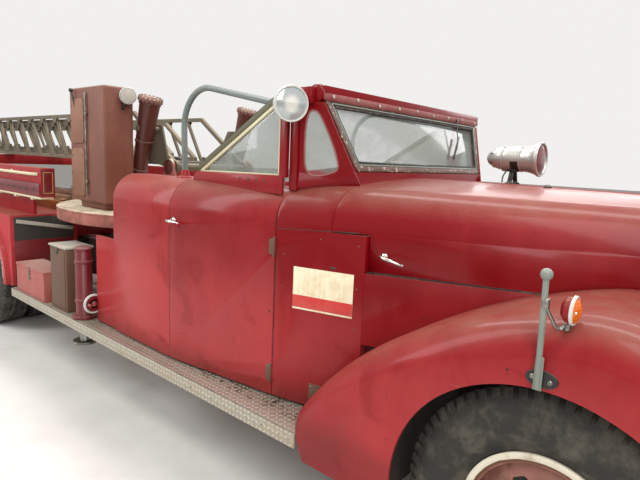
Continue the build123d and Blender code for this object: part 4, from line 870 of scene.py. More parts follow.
class ENGINE_OT_body(Build, bpy.types.Operator):
    """Cowl, cab body, hood halves and front fenders with their seams, sign and screws"""
    bl_idname = "fire_engine.body"
    bl_label = "Bodywork"

    def make(self, look):
        for node, body in (("cowl", "chassis"), ("cab_body", "chassis"), ("hood_left", "hood_l"),
                ("hood_right", "hood_r"), ("front_fenders", "chassis"), ("radiator_shell", "chassis")):
            finish_piece(skin(node, look.edge), "painted_" + node, "red", body, node)
        self.sign()
        self.fastenings()
        self.latches()
        self.seams()

    def sign(self):
        """A cream sheet with a red band along its foot, fixed to the cowl's side."""
        front, rear = 3.64, 3.302
        def corner(x, z, out):
            return x, side_y(x) - out, z
        push = Vector((0, -0.003, 0))
        whole = sheet_of([corner(rear, 1.024, 0.0005), corner(front, 1.03, 0.0005),
            corner(front, 1.249, 0.0005), corner(rear, 1.245, 0.0005)], push, 0.0008)
        one(whole, "cream_sign", "sign")
        band = sheet_of([corner(rear, 1.034, 0.0032), corner(front, 1.04, 0.0032),
            corner(front, 1.103, 0.0032), corner(rear, 1.099, 0.0032)], push * 0.4, 0.0003)
        one(band, "sign_foot_band", "sign_red")

    def fastenings(self):
        spots = [(3.236, z) for z in (1.3, 1.13, 0.94, 0.72)] + [(3.655, z) for z in (1.39, 1.18, 0.98, 0.78)]
        spots += [(3.45, 1.4), (3.34, 0.6), (3.6, 0.66)]
        heads = screws([(x, side_y(x), z) for x, z in spots], (0.19, -0.98, 0), 0.005, 0.002)
        both_sides(heads, "cowl_screws", "locker")
        plate = sheet_of([(3.418, side_y(3.418) - 0.0005, 0.539), (3.486, side_y(3.486) - 0.0005, 0.541),
            (3.486, side_y(3.486) - 0.0005, 0.642), (3.418, side_y(3.418) - 0.0005, 0.64)], (0, -0.003, 0),
            0.001)
        one(plate, "jack_cover_plate", "locker")
        one(screws([(3.476, side_y(3.476) - 0.003, 0.556), (3.428, side_y(3.428) - 0.003, 0.626)],
            (0.19, -0.98, 0), 0.004), "cover_plate_screws", "gold")

    def latches(self):
        """The hood's handles: a plated bar on a short spindle."""
        root = Vector((3.77, -0.838, 1.352))
        out = Vector((0.325, -0.946, 0)).normalized()
        grip = root + out * 0.034
        handle = pipe([grip + Vector((-0.02, 0.007, 0.006)), grip, grip + Vector((0.035, -0.002, -0.006)),
            grip + Vector((0.07, 0.016, -0.02)), grip + Vector((0.098, 0.022, -0.026))], 0.0075, 8, 12,
            radii=(0.8, 1.15, 1.0, 0.8, 0.55))
        spindle = bar(root - out * 0.004, grip, 0.007, sides=16)
        boss = lathe(root - out * 0.001, out, ((0, 0), (0.016, 0), (0.015, 0.004), (0.01, 0.008), (0, 0.008)),
            20)
        both_sides(merged(handle, spindle, boss), "hood_handle", "chrome", ("hood_r", "hood_l"))
        cap = lathe((4.22, -0.05, 1.692), UP, ((0, 0), (0.022, 0), (0.02, 0.012), (0.012, 0.02), (0, 0.022)),
            20)
        one(cap, "hood_rubber_stop", "black", "hood_r")

    def seams(self):
        """The black strip under each hood side and black strips in the door gaps, both painted shade of those
        gaps, and the cowl panel's top seam.
        """
        # A black strip along the gap under each hood side: painted shadow of that gap.
        strip = flat_bar((3.508, -0.918, 1.2655), (4.945, -0.424, 1.2655), 0.016, 0.01)
        both_sides(strip, "hood_side_strip", "rubber")
        low, high, steps = 0.53, 1.628, 23
        gap_shade_strips = []
        # Black strips in the door gaps: painted shade of the gaps.
        for x, node, shift in ((2.357, "cab_body", -0.02), (3.1885, "door_right", -0.012)):
            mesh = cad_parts[node].data
            shell = BVHTree.FromPolygons([vertex.co for vertex in mesh.vertices],
                [face.vertices[:] for face in mesh.polygons])
            line = []
            for step in range(steps + 1):
                z = low + (high - low) * step / steps
                spot = shell.ray_cast(Vector((x + shift, -2, z)), Vector(LEFT))[0]
                if spot:
                    line.append(Vector((x, spot.y + 0.002, z)))
            for start, end in zip(line, line[1:]):
                middle = (start.z + end.z) / 2
                if node == "cab_body" or all(abs(middle - hinge) > 0.1 for hinge in HINGE_HEIGHTS):
                    gap_shade_strips.append(flat_bar(start, end, 0.0032, 0.004, LEFT, 0.0))
        both_sides(merged(*gap_shade_strips), "door_gap_seals", "rubber")
        top = [(x, side_y(x) - 0.0004, 1.43 + (x - 3.2) * 0.052) for x in (3.2, 3.43, 3.655)]
        both_sides(strip_along(top, 0.0035, 0.0012, LEFT, 0.0), "cowl_panel_seam", "chassis")
        self.wheel_house()

    def wheel_house(self):
        """The black lining over each steered wheel, clear of the turned tyre, with a wall and lip that close
        the arch; their black is painted shade inside the arch.
        """
        steps, first, last = 30, math.radians(18), math.radians(191)
        wall_y, thick = -0.4705, (0, 0.003, 0)

        def at(radius, angle, y):
            return FRONT_AXLE + radius * math.cos(angle), y, AXLE_Z + radius * math.sin(angle)

        outline = [at(0.628, first + (last - first) * step / steps, -1.168) for step in range(steps + 1)]
        chain(outline)
        bpy.ops.mesh.extrude_region_move(TRANSFORM_OT_translate={"value": (0, 0.698, 0)})
        faces_outward()
        both_sides(applied(done(), "SOLIDIFY", thickness=0.003, offset=0), "wheel_house", "chassis")
        inner = [(x, wall_y, z) for x, y, z in outline if z > 0.93]
        both_sides(sheet_of(inner, thick), "wheel_house_wall", "chassis")
        arcs = (0.629, range(138, 192, 6)), (0.578, range(186, 132, -6))
        lip = [at(radius, math.radians(angle), wall_y) for radius, angles in arcs for angle in angles]
        both_sides(sheet_of(lip, thick), "wheel_house_lip", "chassis")


class ENGINE_OT_doors(Build, bpy.types.Operator):
    """Doors with belt mouldings, lever handles, hinges and side glass"""
    bl_idname = "fire_engine.doors"
    bl_label = "Doors"

    def make(self, look):
        for side, body in (("right", "door_r"), ("left", "door_l")):
            finish_piece(skin("door_" + side, look.edge), "painted_door_" + side, "red", body, "door_" + side)
            finish_piece(skin("door_glass_" + side, 0.001), "side_window_" + side, "glass", body,
                "door_glass_" + side)
        bodies = ("door_r", "door_l")
        sill = self.sill()
        both_sides(sill, "window_sill_band", "red", bodies)
        holes = [(x, -0.9375, z) for x, z in ((2.83, 1.668), (2.9, 1.666), (2.97, 1.664), (3.03, 1.663))]
        both_sides(screws(holes, RIGHT, 0.007, 0.001), "sill_stud_holes", "chassis", bodies)
        self.handle(bodies)
        self.hinges(bodies)
        self.window(bodies)

    def sill(self):
        """The raised flat band under the side window, its rear end rounded."""
        y = -0.918
        points = [(3.168, y, 1.6), (3.168, y, 1.7), (2.44, y, 1.69), (2.405, y, 1.68), (2.385, y, 1.655),
            (2.38, y, 1.6)]
        return sheet_of(points, (0, -0.018, 0), 0.006)

    def handle(self, bodies):
        root = Vector((2.392, -1.08, 1.386))
        out = Vector((-0.118, -0.993, 0))
        grip = root + out * 0.038
        lever = pipe([grip + Vector((-0.012, 0, 0.002)), grip + Vector((0.02, 0, 0)),
            grip + Vector((0.065, 0.006, -0.004)), grip + Vector((0.112, 0.014, -0.01))], 0.01, 8, 12,
            radii=(0.9, 1.1, 0.95, 0.6))
        rose = lathe(root - out * 0.002, out,
            ((0, 0), (0.024, 0), (0.022, 0.006), (0.012, 0.012), (0.011, 0.036), (0, 0.038)), 24)
        both_sides(merged(lever, rose), "door_handle", "chrome", bodies)

    def hinges(self, bodies):
        parts = []
        for z in HINGE_HEIGHTS:
            parts.append(bar((3.181, -0.992, z - 0.052), (3.181, -0.992, z + 0.052), 0.0085, sides=16,
                width=0.002))
            parts.append(slab((3.15, -1.0, z - 0.04), (3.181, -0.986, z + 0.04), 0.002))
        both_sides(merged(*parts), "door_hinge_knuckles", "locker", bodies)

    def window(self, bodies):
        """The strips that hold the side glass: pale inside, olive outside, rounded at the bottom."""
        y = -0.914
        low_rear, top_rear = Vector((2.452, y, 1.692)), Vector((3.112, y, 2.074))
        low_front, top_front = Vector((3.128, y, 1.7)), Vector((3.128, y, 2.074))
        slope_out, outer = Vector((-0.5, 0, 0.86)), Vector((0, -0.004, 0))

        def strip(start, end, offset, proud, wide):
            return flat_bar(start + offset, end + offset, wide, proud, RIGHT)

        both_sides(slab((3.134, -0.93, 1.69), (3.184, -0.902, 2.08), 0.005, 3), "side_glass_stile", "red",
            bodies)
        both_sides(slab((3.176, -0.895, 1.645), (3.1895, -0.868, 2.075), 0.002), "pillar_seal", "rubber")
        pale = [strip(low_rear, top_rear, outer, 0.016, 0.018),
            strip(low_front, top_front, outer, 0.014, 0.01), strip(low_rear, low_front, outer, 0.014, 0.012)]
        both_sides(merged(*pale), "side_glass_beading", "cream", bodies)
        rail = strip(low_rear, top_rear, slope_out * 0.024 + Vector((0, -0.002, 0)), 0.026, 0.03)
        both_sides(rail, "side_glass_rail", "olive", bodies)
        edge = strip(low_rear, top_rear, slope_out * 0.042, 0.02, 0.008)
        both_sides(edge, "side_glass_rubber", "rubber", bodies)


class ENGINE_OT_windscreen(Build, bpy.types.Operator):
    """Windscreen frame, glass, black seal, padded header with its snaps, and the wiper"""
    bl_idname = "fire_engine.windscreen"
    bl_label = "Windscreen"

    def make(self, look):
        dressed("windscreen_frame", "screen_pillars", "red", "chassis", 0.004)
        finish_piece(skin("windscreen_glass", 0.001), "screen_glass", "glass", "chassis", "windscreen_glass")
        foot, slope_length = Vector((3.471, 0, 1.735)), 0.384
        low_half, top_half = 0.725, 0.857
        rise = (Vector((3.344, 0, 2.097)) - foot).normalized()
        ahead = Vector(LEFT).cross(rise)

        def at(across, up, out=0.0):
            """A point of the screen: share of its half width, metres up its slope and out of it."""
            half = low_half + (top_half - low_half) * up / slope_length
            return foot + Vector((0, across * half, 0)) + rise * up + ahead * out

        bars = []
        for start, end in (((-0.975, 0.012), (0.975, 0.012)), ((-0.975, 0.372), (0.975, 0.372)),
                ((-0.975, 0.012), (-0.98, 0.372)), ((0.975, 0.012), (0.98, 0.372))):
            bars.append(flat_bar(at(*start, 0.016), at(*end, 0.016), 0.03, 0.012, ahead, 0.004))
        one(merged(*bars), "screen_surround", "screen")
        seal = [at(x, z, 0.014) for x, z in ((-0.93, 0.045), (0, 0.041), (0.93, 0.045), (0.937, 0.19),
            (0.94, 0.335), (0, 0.338), (-0.94, 0.335), (-0.937, 0.19), (-0.93, 0.045))]
        one(strip_along(seal, 0.014, 0.012, ahead, 0.003), "screen_seal", "rubber")
        inner = [at(x, z, 0.02) for x, z in ((-0.945, 0.032), (0.945, 0.032), (0.955, 0.35), (-0.955, 0.35),
            (-0.945, 0.032))]
        one(strip_along(inner, 0.008, 0.006, ahead), "screen_bright_strip", "grey_post")
        heads = [at(x / 10, 0.372, 0.022) for x in range(-9, 10, 2)]
        heads += [at(x / 10, 0.01, 0.022) for x in range(-8, 9, 4)]
        one(screws(heads, ahead, 0.006), "screen_screws", "steel")
        self.header()
        self.vent()
        pivot = at(0.62, 0.372, 0.022)
        arm = merged(bar(pivot - ahead * 0.01, pivot + ahead * 0.02, 0.01, sides=14, width=0.001),
            pipe([pivot + ahead * 0.018, at(0.6, 0.26, 0.034), at(0.57, 0.16, 0.028)], 0.003, 6, 6))
        blade = flat_bar(at(0.5, 0.1, 0.022), at(0.66, 0.26, 0.022), 0.006, 0.016, rise, 0.001)
        one(merged(arm, blade), "wiper", "black")

    def vent(self):
        """The fixed quarter window: a red panel from the pillar to the screen, its arched pane and seal."""
        def at(share, z):
            rise = (z - 1.735) / 0.362
            return Vector((3.196, -0.908, z)).lerp(Vector((3.494 - 0.127 * rise, -0.744 - 0.132 * rise, z)),
                share)

        corners = [(0.24, 1.79), (0.31, 1.93), (0.44, 2.012), (0.6, 2.034), (0.755, 2.01), (0.81, 1.9),
            (0.8, 1.81), (0.755, 1.748), (0.62, 1.722), (0.4, 1.706), (0.27, 1.724)]
        curve = []
        for index, middle in enumerate(corners):
            before, after, beyond = corners[index - 1], corners[(index + 1) % 11], corners[(index + 2) % 11]
            for step in range(4):
                t = step / 4
                curve.append([0.5 * (2 * m + (a - b) * t + (2 * b - 5 * m + 4 * a - c) * t * t
                    + (3 * m - b - 3 * a + c) * t ** 3) for b, m, a, c in zip(before, middle, after, beyond)])
        edge = [(share / 8, 1.628 + 0.032 * share / 8) for share in range(9)]
        edge += [(1, 1.66 + 0.412 * step / 8) for step in range(1, 9)]
        edge += [(1 - step / 8, 2.072) for step in range(1, 9)]
        edge += [(0, 2.072 - 0.444 * step / 8) for step in range(1, 8)]
        loops = []
        for line in (edge, curve):
            chain([at(*point) for point in line + line[:1]])
            bpy.ops.mesh.remove_doubles(threshold=0.0001)
            loops.append(done())
        panel = merged(*loops)
        editing(panel, "EDGE")
        bpy.ops.mesh.bridge_edge_loops()
        faces_outward()
        done()
        if panel.data.polygons[0].normal.y > 0:
            editing(panel)
            bpy.ops.mesh.flip_normals()
            done()
        applied(panel, "SOLIDIFY", thickness=0.014, offset=-1)
        both_sides(eased(panel, 0.0035, 2, 50), "vent_panel", "red", angle=40)
        inward = Vector((-0.46, 0.89, 0)) * 0.005
        pane = sheet_of([at(*point) + inward for point in curve], inward * 0.8)
        both_sides(pane, "vent_pane", "glass")
        seal = pipe([at(*point) + inward * 0.4 for point in curve + curve[:1]], 0.0045, 1, 8)
        both_sides(seal, "vent_seal", "header")

    def header(self):
        """A vinyl roll over the header with seams and a row of snaps."""
        half, x, z = 0.874, 3.318, 2.108
        outline = [(-0.062, -0.022), (-0.066, 0.01), (-0.058, 0.036), (-0.03, 0.05), (0.01, 0.052),
            (0.046, 0.04), (0.066, 0.016), (0.068, -0.014), (0.06, -0.03)]
        rolls = 22
        chain([(x + px, -half, z + pz) for px, pz in outline])
        for step in range(rolls):
            bpy.ops.mesh.extrude_region_move(TRANSFORM_OT_translate={"value": (0, 2 * half / rolls, 0)})
        faces_outward()
        roll = done()
        for vertex in roll.data.vertices:
            share = (vertex.co.y + half) / (2 * half) * rolls
            pinch = 0.0035 * math.cos(share * math.pi) ** 6
            drop = (vertex.co - Vector((x, vertex.co.y, z))).normalized()
            vertex.co -= Vector((drop.x, 0, drop.z)) * pinch
        applied(roll, "SOLIDIFY", thickness=0.006, offset=-1)
        applied(roll, "SUBSURF", levels=2, render_levels=2)
        one(roll, "header_roll", "header")
        snaps = [(x + 0.0665, -half + 0.07 + 0.2015 * step, z - 0.004 + 0.006 * math.sin(step * 2.1))
            for step in range(9)]
        one(screws(snaps, (1, 0, 0.1), 0.01, 0.004), "header_snaps", "pale_plate")
        ends = merged(*[lathe((x, side * half, z + 0.008), (0, side, 0),
            ((0, 0.004), (0.03, 0.003), (0.046, -0.006), (0.05, -0.03)), 28) for side in (-1, 1)])
        one(ends, "header_end_caps", "red")


class ENGINE_OT_hoops(Build, bpy.types.Operator):
    """The steel hoops of the folding top and their foot plates"""
    bl_idname = "fire_engine.hoops"
    bl_label = "Top hoops"

    def make(self, look):
        dressed("top_hoops", "top_hoop_tubes", "hoop", "chassis", 0)
        foot = lathe((2.22, -0.88, BELT), UP,
            ((0, 0), (0.055, 0), (0.052, 0.008), (0.028, 0.014), (0.024, 0.05), (0.0195, 0.052)), 28)
        both_sides(foot, "hoop_foot", "red")
        socket = bar((3.265, -0.88, 2.024), (3.195, -0.88, 2.046), 0.026, sides=20, width=0.003)
        both_sides(socket, "hoop_socket", "steel")


class ENGINE_OT_lamps(Build, bpy.types.Operator):
    """Spotlights, headlamps and tail lamps"""
    bl_idname = "fire_engine.lamps"
    bl_label = "Lamps"

    def make(self, look):
        centre, out = Vector((3.264, -1.0, 2.055)), Vector((1, -0.5, -0.1)).normalized()
        self.lamp("spotlight", centre + out * 0.038, out, 0.088, 0.118, "lamp_white", "spotlights",
            "spot_lens")
        arm = merged(bar(centre - out * 0.05, (3.214, -0.9, 2.065), 0.013, sides=14),
            lathe(centre - out * 0.075, out, ((0, -0.022), (0.016, -0.018), (0.024, 0), (0.018, 0.02),
            (0, 0.024)), 20), bar((3.214, -0.93, 2.065), (3.214, -0.9, 2.065), 0.024, 0.02, 20, 0.004))
        both_sides(arm, "spotlight_arm", "steel")
        self.lamp("headlamp", Vector((5.27, -0.76, 1.34)), Vector(AHEAD), 0.115, 0.2, "red", "headlamps")
        stalk = lathe((5.21, -0.76, 1.19), UP,
            ((0, 0), (0.055, 0.0), (0.04, 0.02), (0.027, 0.045), (0.026, 0.06)), 28)
        both_sides(stalk, "headlamp_stalk_foot", "red")
        tail = Vector((-2.912, -0.98, 0.93))
        self.lamp("tail_lamp", tail - Vector((0.03, 0, 0)), Vector((-1, 0, 0)), 0.055, 0.03, "chrome", None,
            "red_lens")

    def lamp(self, name, face, out, radius, deep, finish, node, lens="clear_lens"):
        """A bowl behind a plated rim and a ribbed lens."""
        r = radius
        bowl = lathe(face, out, ((0, -deep), (r * 0.3, -deep * 0.96), (r * 0.62, -deep * 0.8),
            (r * 0.86, -deep * 0.52), (r * 0.97, -deep * 0.2), (r, -0.006), (r * 0.98, 0.0)), 44)
        rim = lathe(face, out, ((r * 0.985, -0.012), (r * 1.0, -0.01), (r * 1.0, 0.0), (r * 0.97, 0.007),
            (r * 0.9, 0.006), (r * 0.885, 0.0), (r * 0.89, -0.01)), 44)
        glass = lathe(face, out, ((0, 0.012), (r * 0.4, 0.0105), (r * 0.7, 0.006), (r * 0.885, 0.0),
            (r * 0.885, -0.006), (0, -0.004)), 44)
        right = one(bowl, name + "_bowl_right", finish)
        left = other_side(right)
        one(left, name + "_bowl_left", finish)
        if node:
            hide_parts(node)
        both_sides(rim, name + "_rim", "lamp_white" if lens == "spot_lens" else "chrome")
        both_sides(glass, name + "_lens", lens)


class ENGINE_OT_siren(Build, bpy.types.Operator):
    """The bullet siren with its ring bands, grille, flared rim and red lens"""
    bl_idname = "fire_engine.siren"
    bl_label = "Siren"

    def make(self, look):
        centre, ahead = Vector((3.91, 0.27, 1.845)), Vector(AHEAD)
        shell = lathe(centre, ahead, ((0, -0.165), (0.018, -0.163), (0.036, -0.15), (0.053, -0.122),
            (0.064, -0.09), (0.0705, -0.055), (0.072, -0.02), (0.072, 0.058)), 56)
        one(shell, "siren_shell", "siren", "hood_l", "siren")
        bands = [lathe(centre, ahead, ((0.0715, at), (0.0765, at + 0.003), (0.0765, at + 0.009),
            (0.0715, at + 0.012)), 56) for at in (-0.062, 0.044)]
        one(merged(*bands), "siren_bands", "siren", "hood_l")
        flare = lathe(centre, ahead, ((0.07, 0.052), (0.074, 0.066), (0.079, 0.1), (0.09, 0.134),
            (0.0985, 0.146), (0.0995, 0.154), (0.097, 0.1605), (0.09, 0.16), (0.087, 0.15)), 56)
        one(flare, "siren_rim", "siren", "hood_l")
        lens = lathe(centre, ahead, ((0, 0.163), (0.03, 0.162), (0.06, 0.159), (0.08, 0.155),
            (0.088, 0.15), (0.088, 0.14), (0, 0.14)), 56)
        one(lens, "siren_lens", "red_lens", "hood_l")
        slot = flat_bar(centre + Vector((-0.128, 0, 0)), centre + Vector((-0.096, 0, 0)), 0.006, 0.112, UP,
            0.001)
        slots = ring_of(slot, 6, centre, ahead)
        one(slots, "siren_slots", "black", "hood_l")
        # A black patch on the lower near side of the band: painted shade under the siren.
        patch = lathe(centre, ahead, ((0.0722, -0.002), (0.0735, 0.002), (0.0735, 0.04), (0.0722, 0.044)), 56)
        editing(patch)
        choose(lambda place, normal: place.z > 1.832 or place.y > 0.29)
        bpy.ops.mesh.delete(type="FACE")
        done()
        one(patch, "siren_painted_shade_band", "black", "hood_l")
        feet = []
        for side in (-1, 1):
            y = 0.27 + side * 0.045
            feet.append(flat_bar((3.91, 0.27 + side * 0.018, 1.779), (3.91, y, 1.706), 0.026, 0.014,
                (0, side, 0.3), 0.003))
            feet.append(lathe((3.91, y, 1.694), UP,
                ((0, 0), (0.026, 0), (0.026, 0.008), (0.018, 0.014), (0.01, 0.02), (0, 0.022)), 24))
        feet.append(slab((3.885, 0.232, 1.768), (3.935, 0.308, 1.786), 0.004))
        one(merged(*feet), "siren_stand", "black", "hood_l")
        wire = pipe([(3.87, 0.27, 1.776), (3.85, 0.268, 1.735), (3.85, 0.262, 1.703)], 0.004, 8, 8)
        one(wire, "siren_lead", "rubber", "hood_l")


class ENGINE_OT_marker_posts(Build, bpy.types.Operator):
    """Fender marker posts with their feet, amber lamps and struts"""
    bl_idname = "fire_engine.marker_posts"
    bl_label = "Marker posts"

    def make(self, look):
        y = -1.1953
        post = bar((4.62, y, 1.094), (4.612, y, 1.452), 0.0095, sides=20, width=0.001)
        flat = sheet_of([(4.606, y + 0.004, 1.088), (4.634, y + 0.004, 1.088), (4.633, y + 0.004, 1.2),
            (4.607, y + 0.004, 1.2)], (0, -0.006, 0), 0.002)
        ball = lathe((4.612, y, 1.468), UP, ((0, -0.02), (0.01, -0.018), (0.0165, -0.011), (0.02, -0.001),
            (0.018, 0.009), (0.011, 0.0165), (0, 0.02)), 24)
        right = both_sides(merged(post, flat, ball), "marker_post", "grey_post")[0]
        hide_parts("marker_posts")
        foot = lathe((4.628, -1.1795, 1.124), RIGHT,
            ((0, 0), (0.03, 0), (0.029, 0.005), (0.02, 0.007), (0, 0.007)), 36)
        for vertex in foot.data.vertices:
            vertex.co.x = 4.628 + (vertex.co.x - 4.628) * 1.75
        both_sides(foot, "marker_foot", "black")
        both_sides(screws([(4.6, -1.188, 1.128), (4.655, -1.186, 1.12)], RIGHT, 0.009, 0.006), "marker_bolts",
            "steel")
        strut = pipe([(4.617, y, 1.375), (4.634, -1.178, 1.33), (4.655, -1.15, 1.292), (4.668, -1.142, 1.3)],
            0.006, 6, 8)
        collar = bar((4.6185, y, 1.362), (4.618, y, 1.392), 0.0125, sides=18, width=0.002)
        nut = bar((4.676, -1.142, 1.29), (4.676, -1.142, 1.312), 0.01, sides=12, width=0.002)
        both_sides(merged(strut, collar, nut), "marker_strut", "steel")
        face, out = Vector((4.69, -1.142, 1.358)), Vector(AHEAD)
        both_sides(lathe(face, out, ((0, -0.036), (0.026, -0.034), (0.04, -0.022), (0.044, -0.006),
            (0.0445, 0)), 40), "marker_lamp_back", "red")
        both_sides(lathe(face, out, ((0.0445, -0.005), (0.048, -0.003), (0.048, 0.004), (0.044, 0.007),
            (0.041, 0.004)), 40), "marker_lamp_rim", "lamp_white")
        both_sides(lathe(face, out, ((0, 0.022), (0.012, 0.0215), (0.024, 0.018), (0.034, 0.013),
            (0.041, 0.005), (0.041, -0.004), (0, -0.004)), 40), "marker_lamp_lens", "amber_lens")
        both_sides(screws([(4.7015, -1.142 + s * 0.03, 1.358) for s in (-1, 1)], AHEAD, 0.005, 0.006),
            "marker_lens_screws", "chrome")


class ENGINE_OT_boards(Build, bpy.types.Operator):
    """Tread-plate running boards with their rolled edge and bolts"""
    bl_idname = "fire_engine.boards"
    bl_label = "Running boards"

    def make(self, look):
        dressed("running_boards", "tread_boards", "tread", "chassis", 0.003)
        edge = pipe([(3.545, -1.176, 0.4985), (1.7, -1.176, 0.4985), (-0.084, -1.176, 0.4985)], 0.0042, 1, 8)
        both_sides(edge, "board_edge_beading", "steel")
        holes = [(3.52 - 0.2 * step, -1.1802, 0.462) for step in range(18)]
        both_sides(screws(holes, RIGHT, 0.007, 0.0015), "board_edge_bolts", "steel")


class ENGINE_OT_wheels(Build, bpy.types.Operator):
    """Tyres with ribs and shoulder lugs, rims, nuts and hub caps"""
    bl_idname = "fire_engine.wheels"
    bl_label = "Wheels"

    def make(self, look):
        front = self.tyre((FRONT_AXLE, -0.98, AXLE_Z), look.lugs)
        both_sides(front, "front_tyre_tread", "tyre", FRONT_WHEELS, "front_tyre", 40)
        rear = merged(*[self.tyre((REAR_AXLE, y, AXLE_Z), look.lugs) for y in (-1.05, -0.732)])
        both_sides(rear, "rear_tyre_treads", "tyre", REAR_WHEELS, "rear_tyres", 40)
        for axle, x, y, nodes, pair in (("front", FRONT_AXLE, -1.062, "front_rim", FRONT_WHEELS),
                ("rear", REAR_AXLE, -0.968, "rear_rims", REAR_WHEELS)):
            finish = axle + "_wheel"
            both_sides(skin(nodes + "_right", 0.002, 30), axle + "_wheel_disc", finish, pair, nodes)
            centre = Vector((x, y, AXLE_Z))
            nut = bar(centre + Vector((0.122, 0.006, 0)), centre + Vector((0.122, -0.024, 0)), 0.016, sides=6,
                width=0.003)
            stud = bar(centre + Vector((0.122, -0.02, 0)), centre + Vector((0.122, -0.034, 0)), 0.008,
                sides=12, width=0.001)
            both_sides(ring_of(merged(nut, stud), 10, centre, LEFT), axle + "_wheel_nuts", finish, pair)
        ring = lathe((FRONT_AXLE, -0.98, AXLE_Z), RIGHT,
            ((0.264, 0.104), (0.282, 0.104), (0.2895, 0.1075), (0.2925, 0.1135), (0.288, 0.118),
            (0.276, 0.117), (0.266, 0.111), (0.264, 0.104)), 72)
        both_sides(ring, "front_trim_ring", "front_wheel", FRONT_WHEELS)

    def tyre(self, centre, lugs):
        """A carcass with sidewall rings and tread ribs, and a ring of lugs on each shoulder."""
        side = [(0.2624, 0.094), (0.292, 0.0985), (0.3, 0.104), (0.306, 0.1035), (0.33, 0.1215),
            (0.334, 0.1245), (0.34, 0.1235), (0.372, 0.1345), (0.4, 0.1372), (0.43, 0.136), (0.434, 0.1368),
            (0.438, 0.1352), (0.462, 0.13), (0.488, 0.12), (0.504, 0.108), (0.512, 0.098)]
        ribs = [(0.5235, 0.092), (0.5245, 0.06), (0.513, 0.057), (0.513, 0.049), (0.5248, 0.046),
            (0.525, 0.016), (0.513, 0.013), (0.513, 0.005), (0.5248, 0.002)]
        half = side + ribs
        outline = half + [(radius, -along) for radius, along in reversed(half)]
        carcass = lathe(centre, RIGHT, outline, 84)
        x, y, z = centre
        lug = slab((x - 0.0165, y - 0.1225, z + 0.486), (x + 0.0165, y - 0.09, z + 0.5235), 0.0)
        for vertex in lug.data.vertices:
            if vertex.co.z > z + 0.5 and vertex.co.y < y - 0.1:
                vertex.co.y += 0.013
        eased(lug, 0.0025, 1, 30)
        other = copy_of(lug, turn=Matrix.Rotation(math.pi, 3, "Z"), about=centre)
        other.data.transform(Matrix.Translation(Vector(centre)) @ Matrix.Rotation(math.pi / lugs, 4, "Y")
            @ Matrix.Translation(-Vector(centre)))
        return merged(carcass, ring_of(merged(lug, other), lugs, centre, LEFT))


class ENGINE_OT_turntable(Build, bpy.types.Operator):
    """The turntable's dusty deck, its rim beading, bolts and pivot caps"""
    bl_idname = "fire_engine.turntable"
    bl_label = "Turntable"

    def make(self, look):
        dressed("turntable_deck", "deck_plate", "deck", "turntable", 0.004)
        centre = Vector((TURNTABLE_X, 0, DECK_TOP))
        lip = lathe(centre, UP, ((1.04, 0.001), (1.0485, 0.0015), (1.052, -0.002), (1.0535, -0.01),
            (1.051, -0.017)), 120)
        one(lip, "deck_rim_beading", "deck", "turntable")
        bolts = ring_of(screws([centre + Vector((1.02, 0, 0))], UP, 0.009, 0.005), 40, centre, UP)
        one(bolts, "deck_bolts", "deck", "turntable")
        trim = []
        for side in (-1, 1):
            y = side * 0.4335
            trim.append(lathe((1.33, y, 1.68), (0, side, 0),
                ((0, 0.012), (0.03, 0.011), (0.046, 0.006), (0.06, 0.005), (0.064, 0)), 36))
            for z, x in ((1.38, 1.48), (1.5, 1.45)):
                trim.append(screws([(x - 0.02, y, z), (1.17 + (1.5 - x) * 0.6, y, z)], (0, side, 0), 0.014,
                    0.008))
        one(merged(*trim), "pivot_caps", "ram", "turntable")


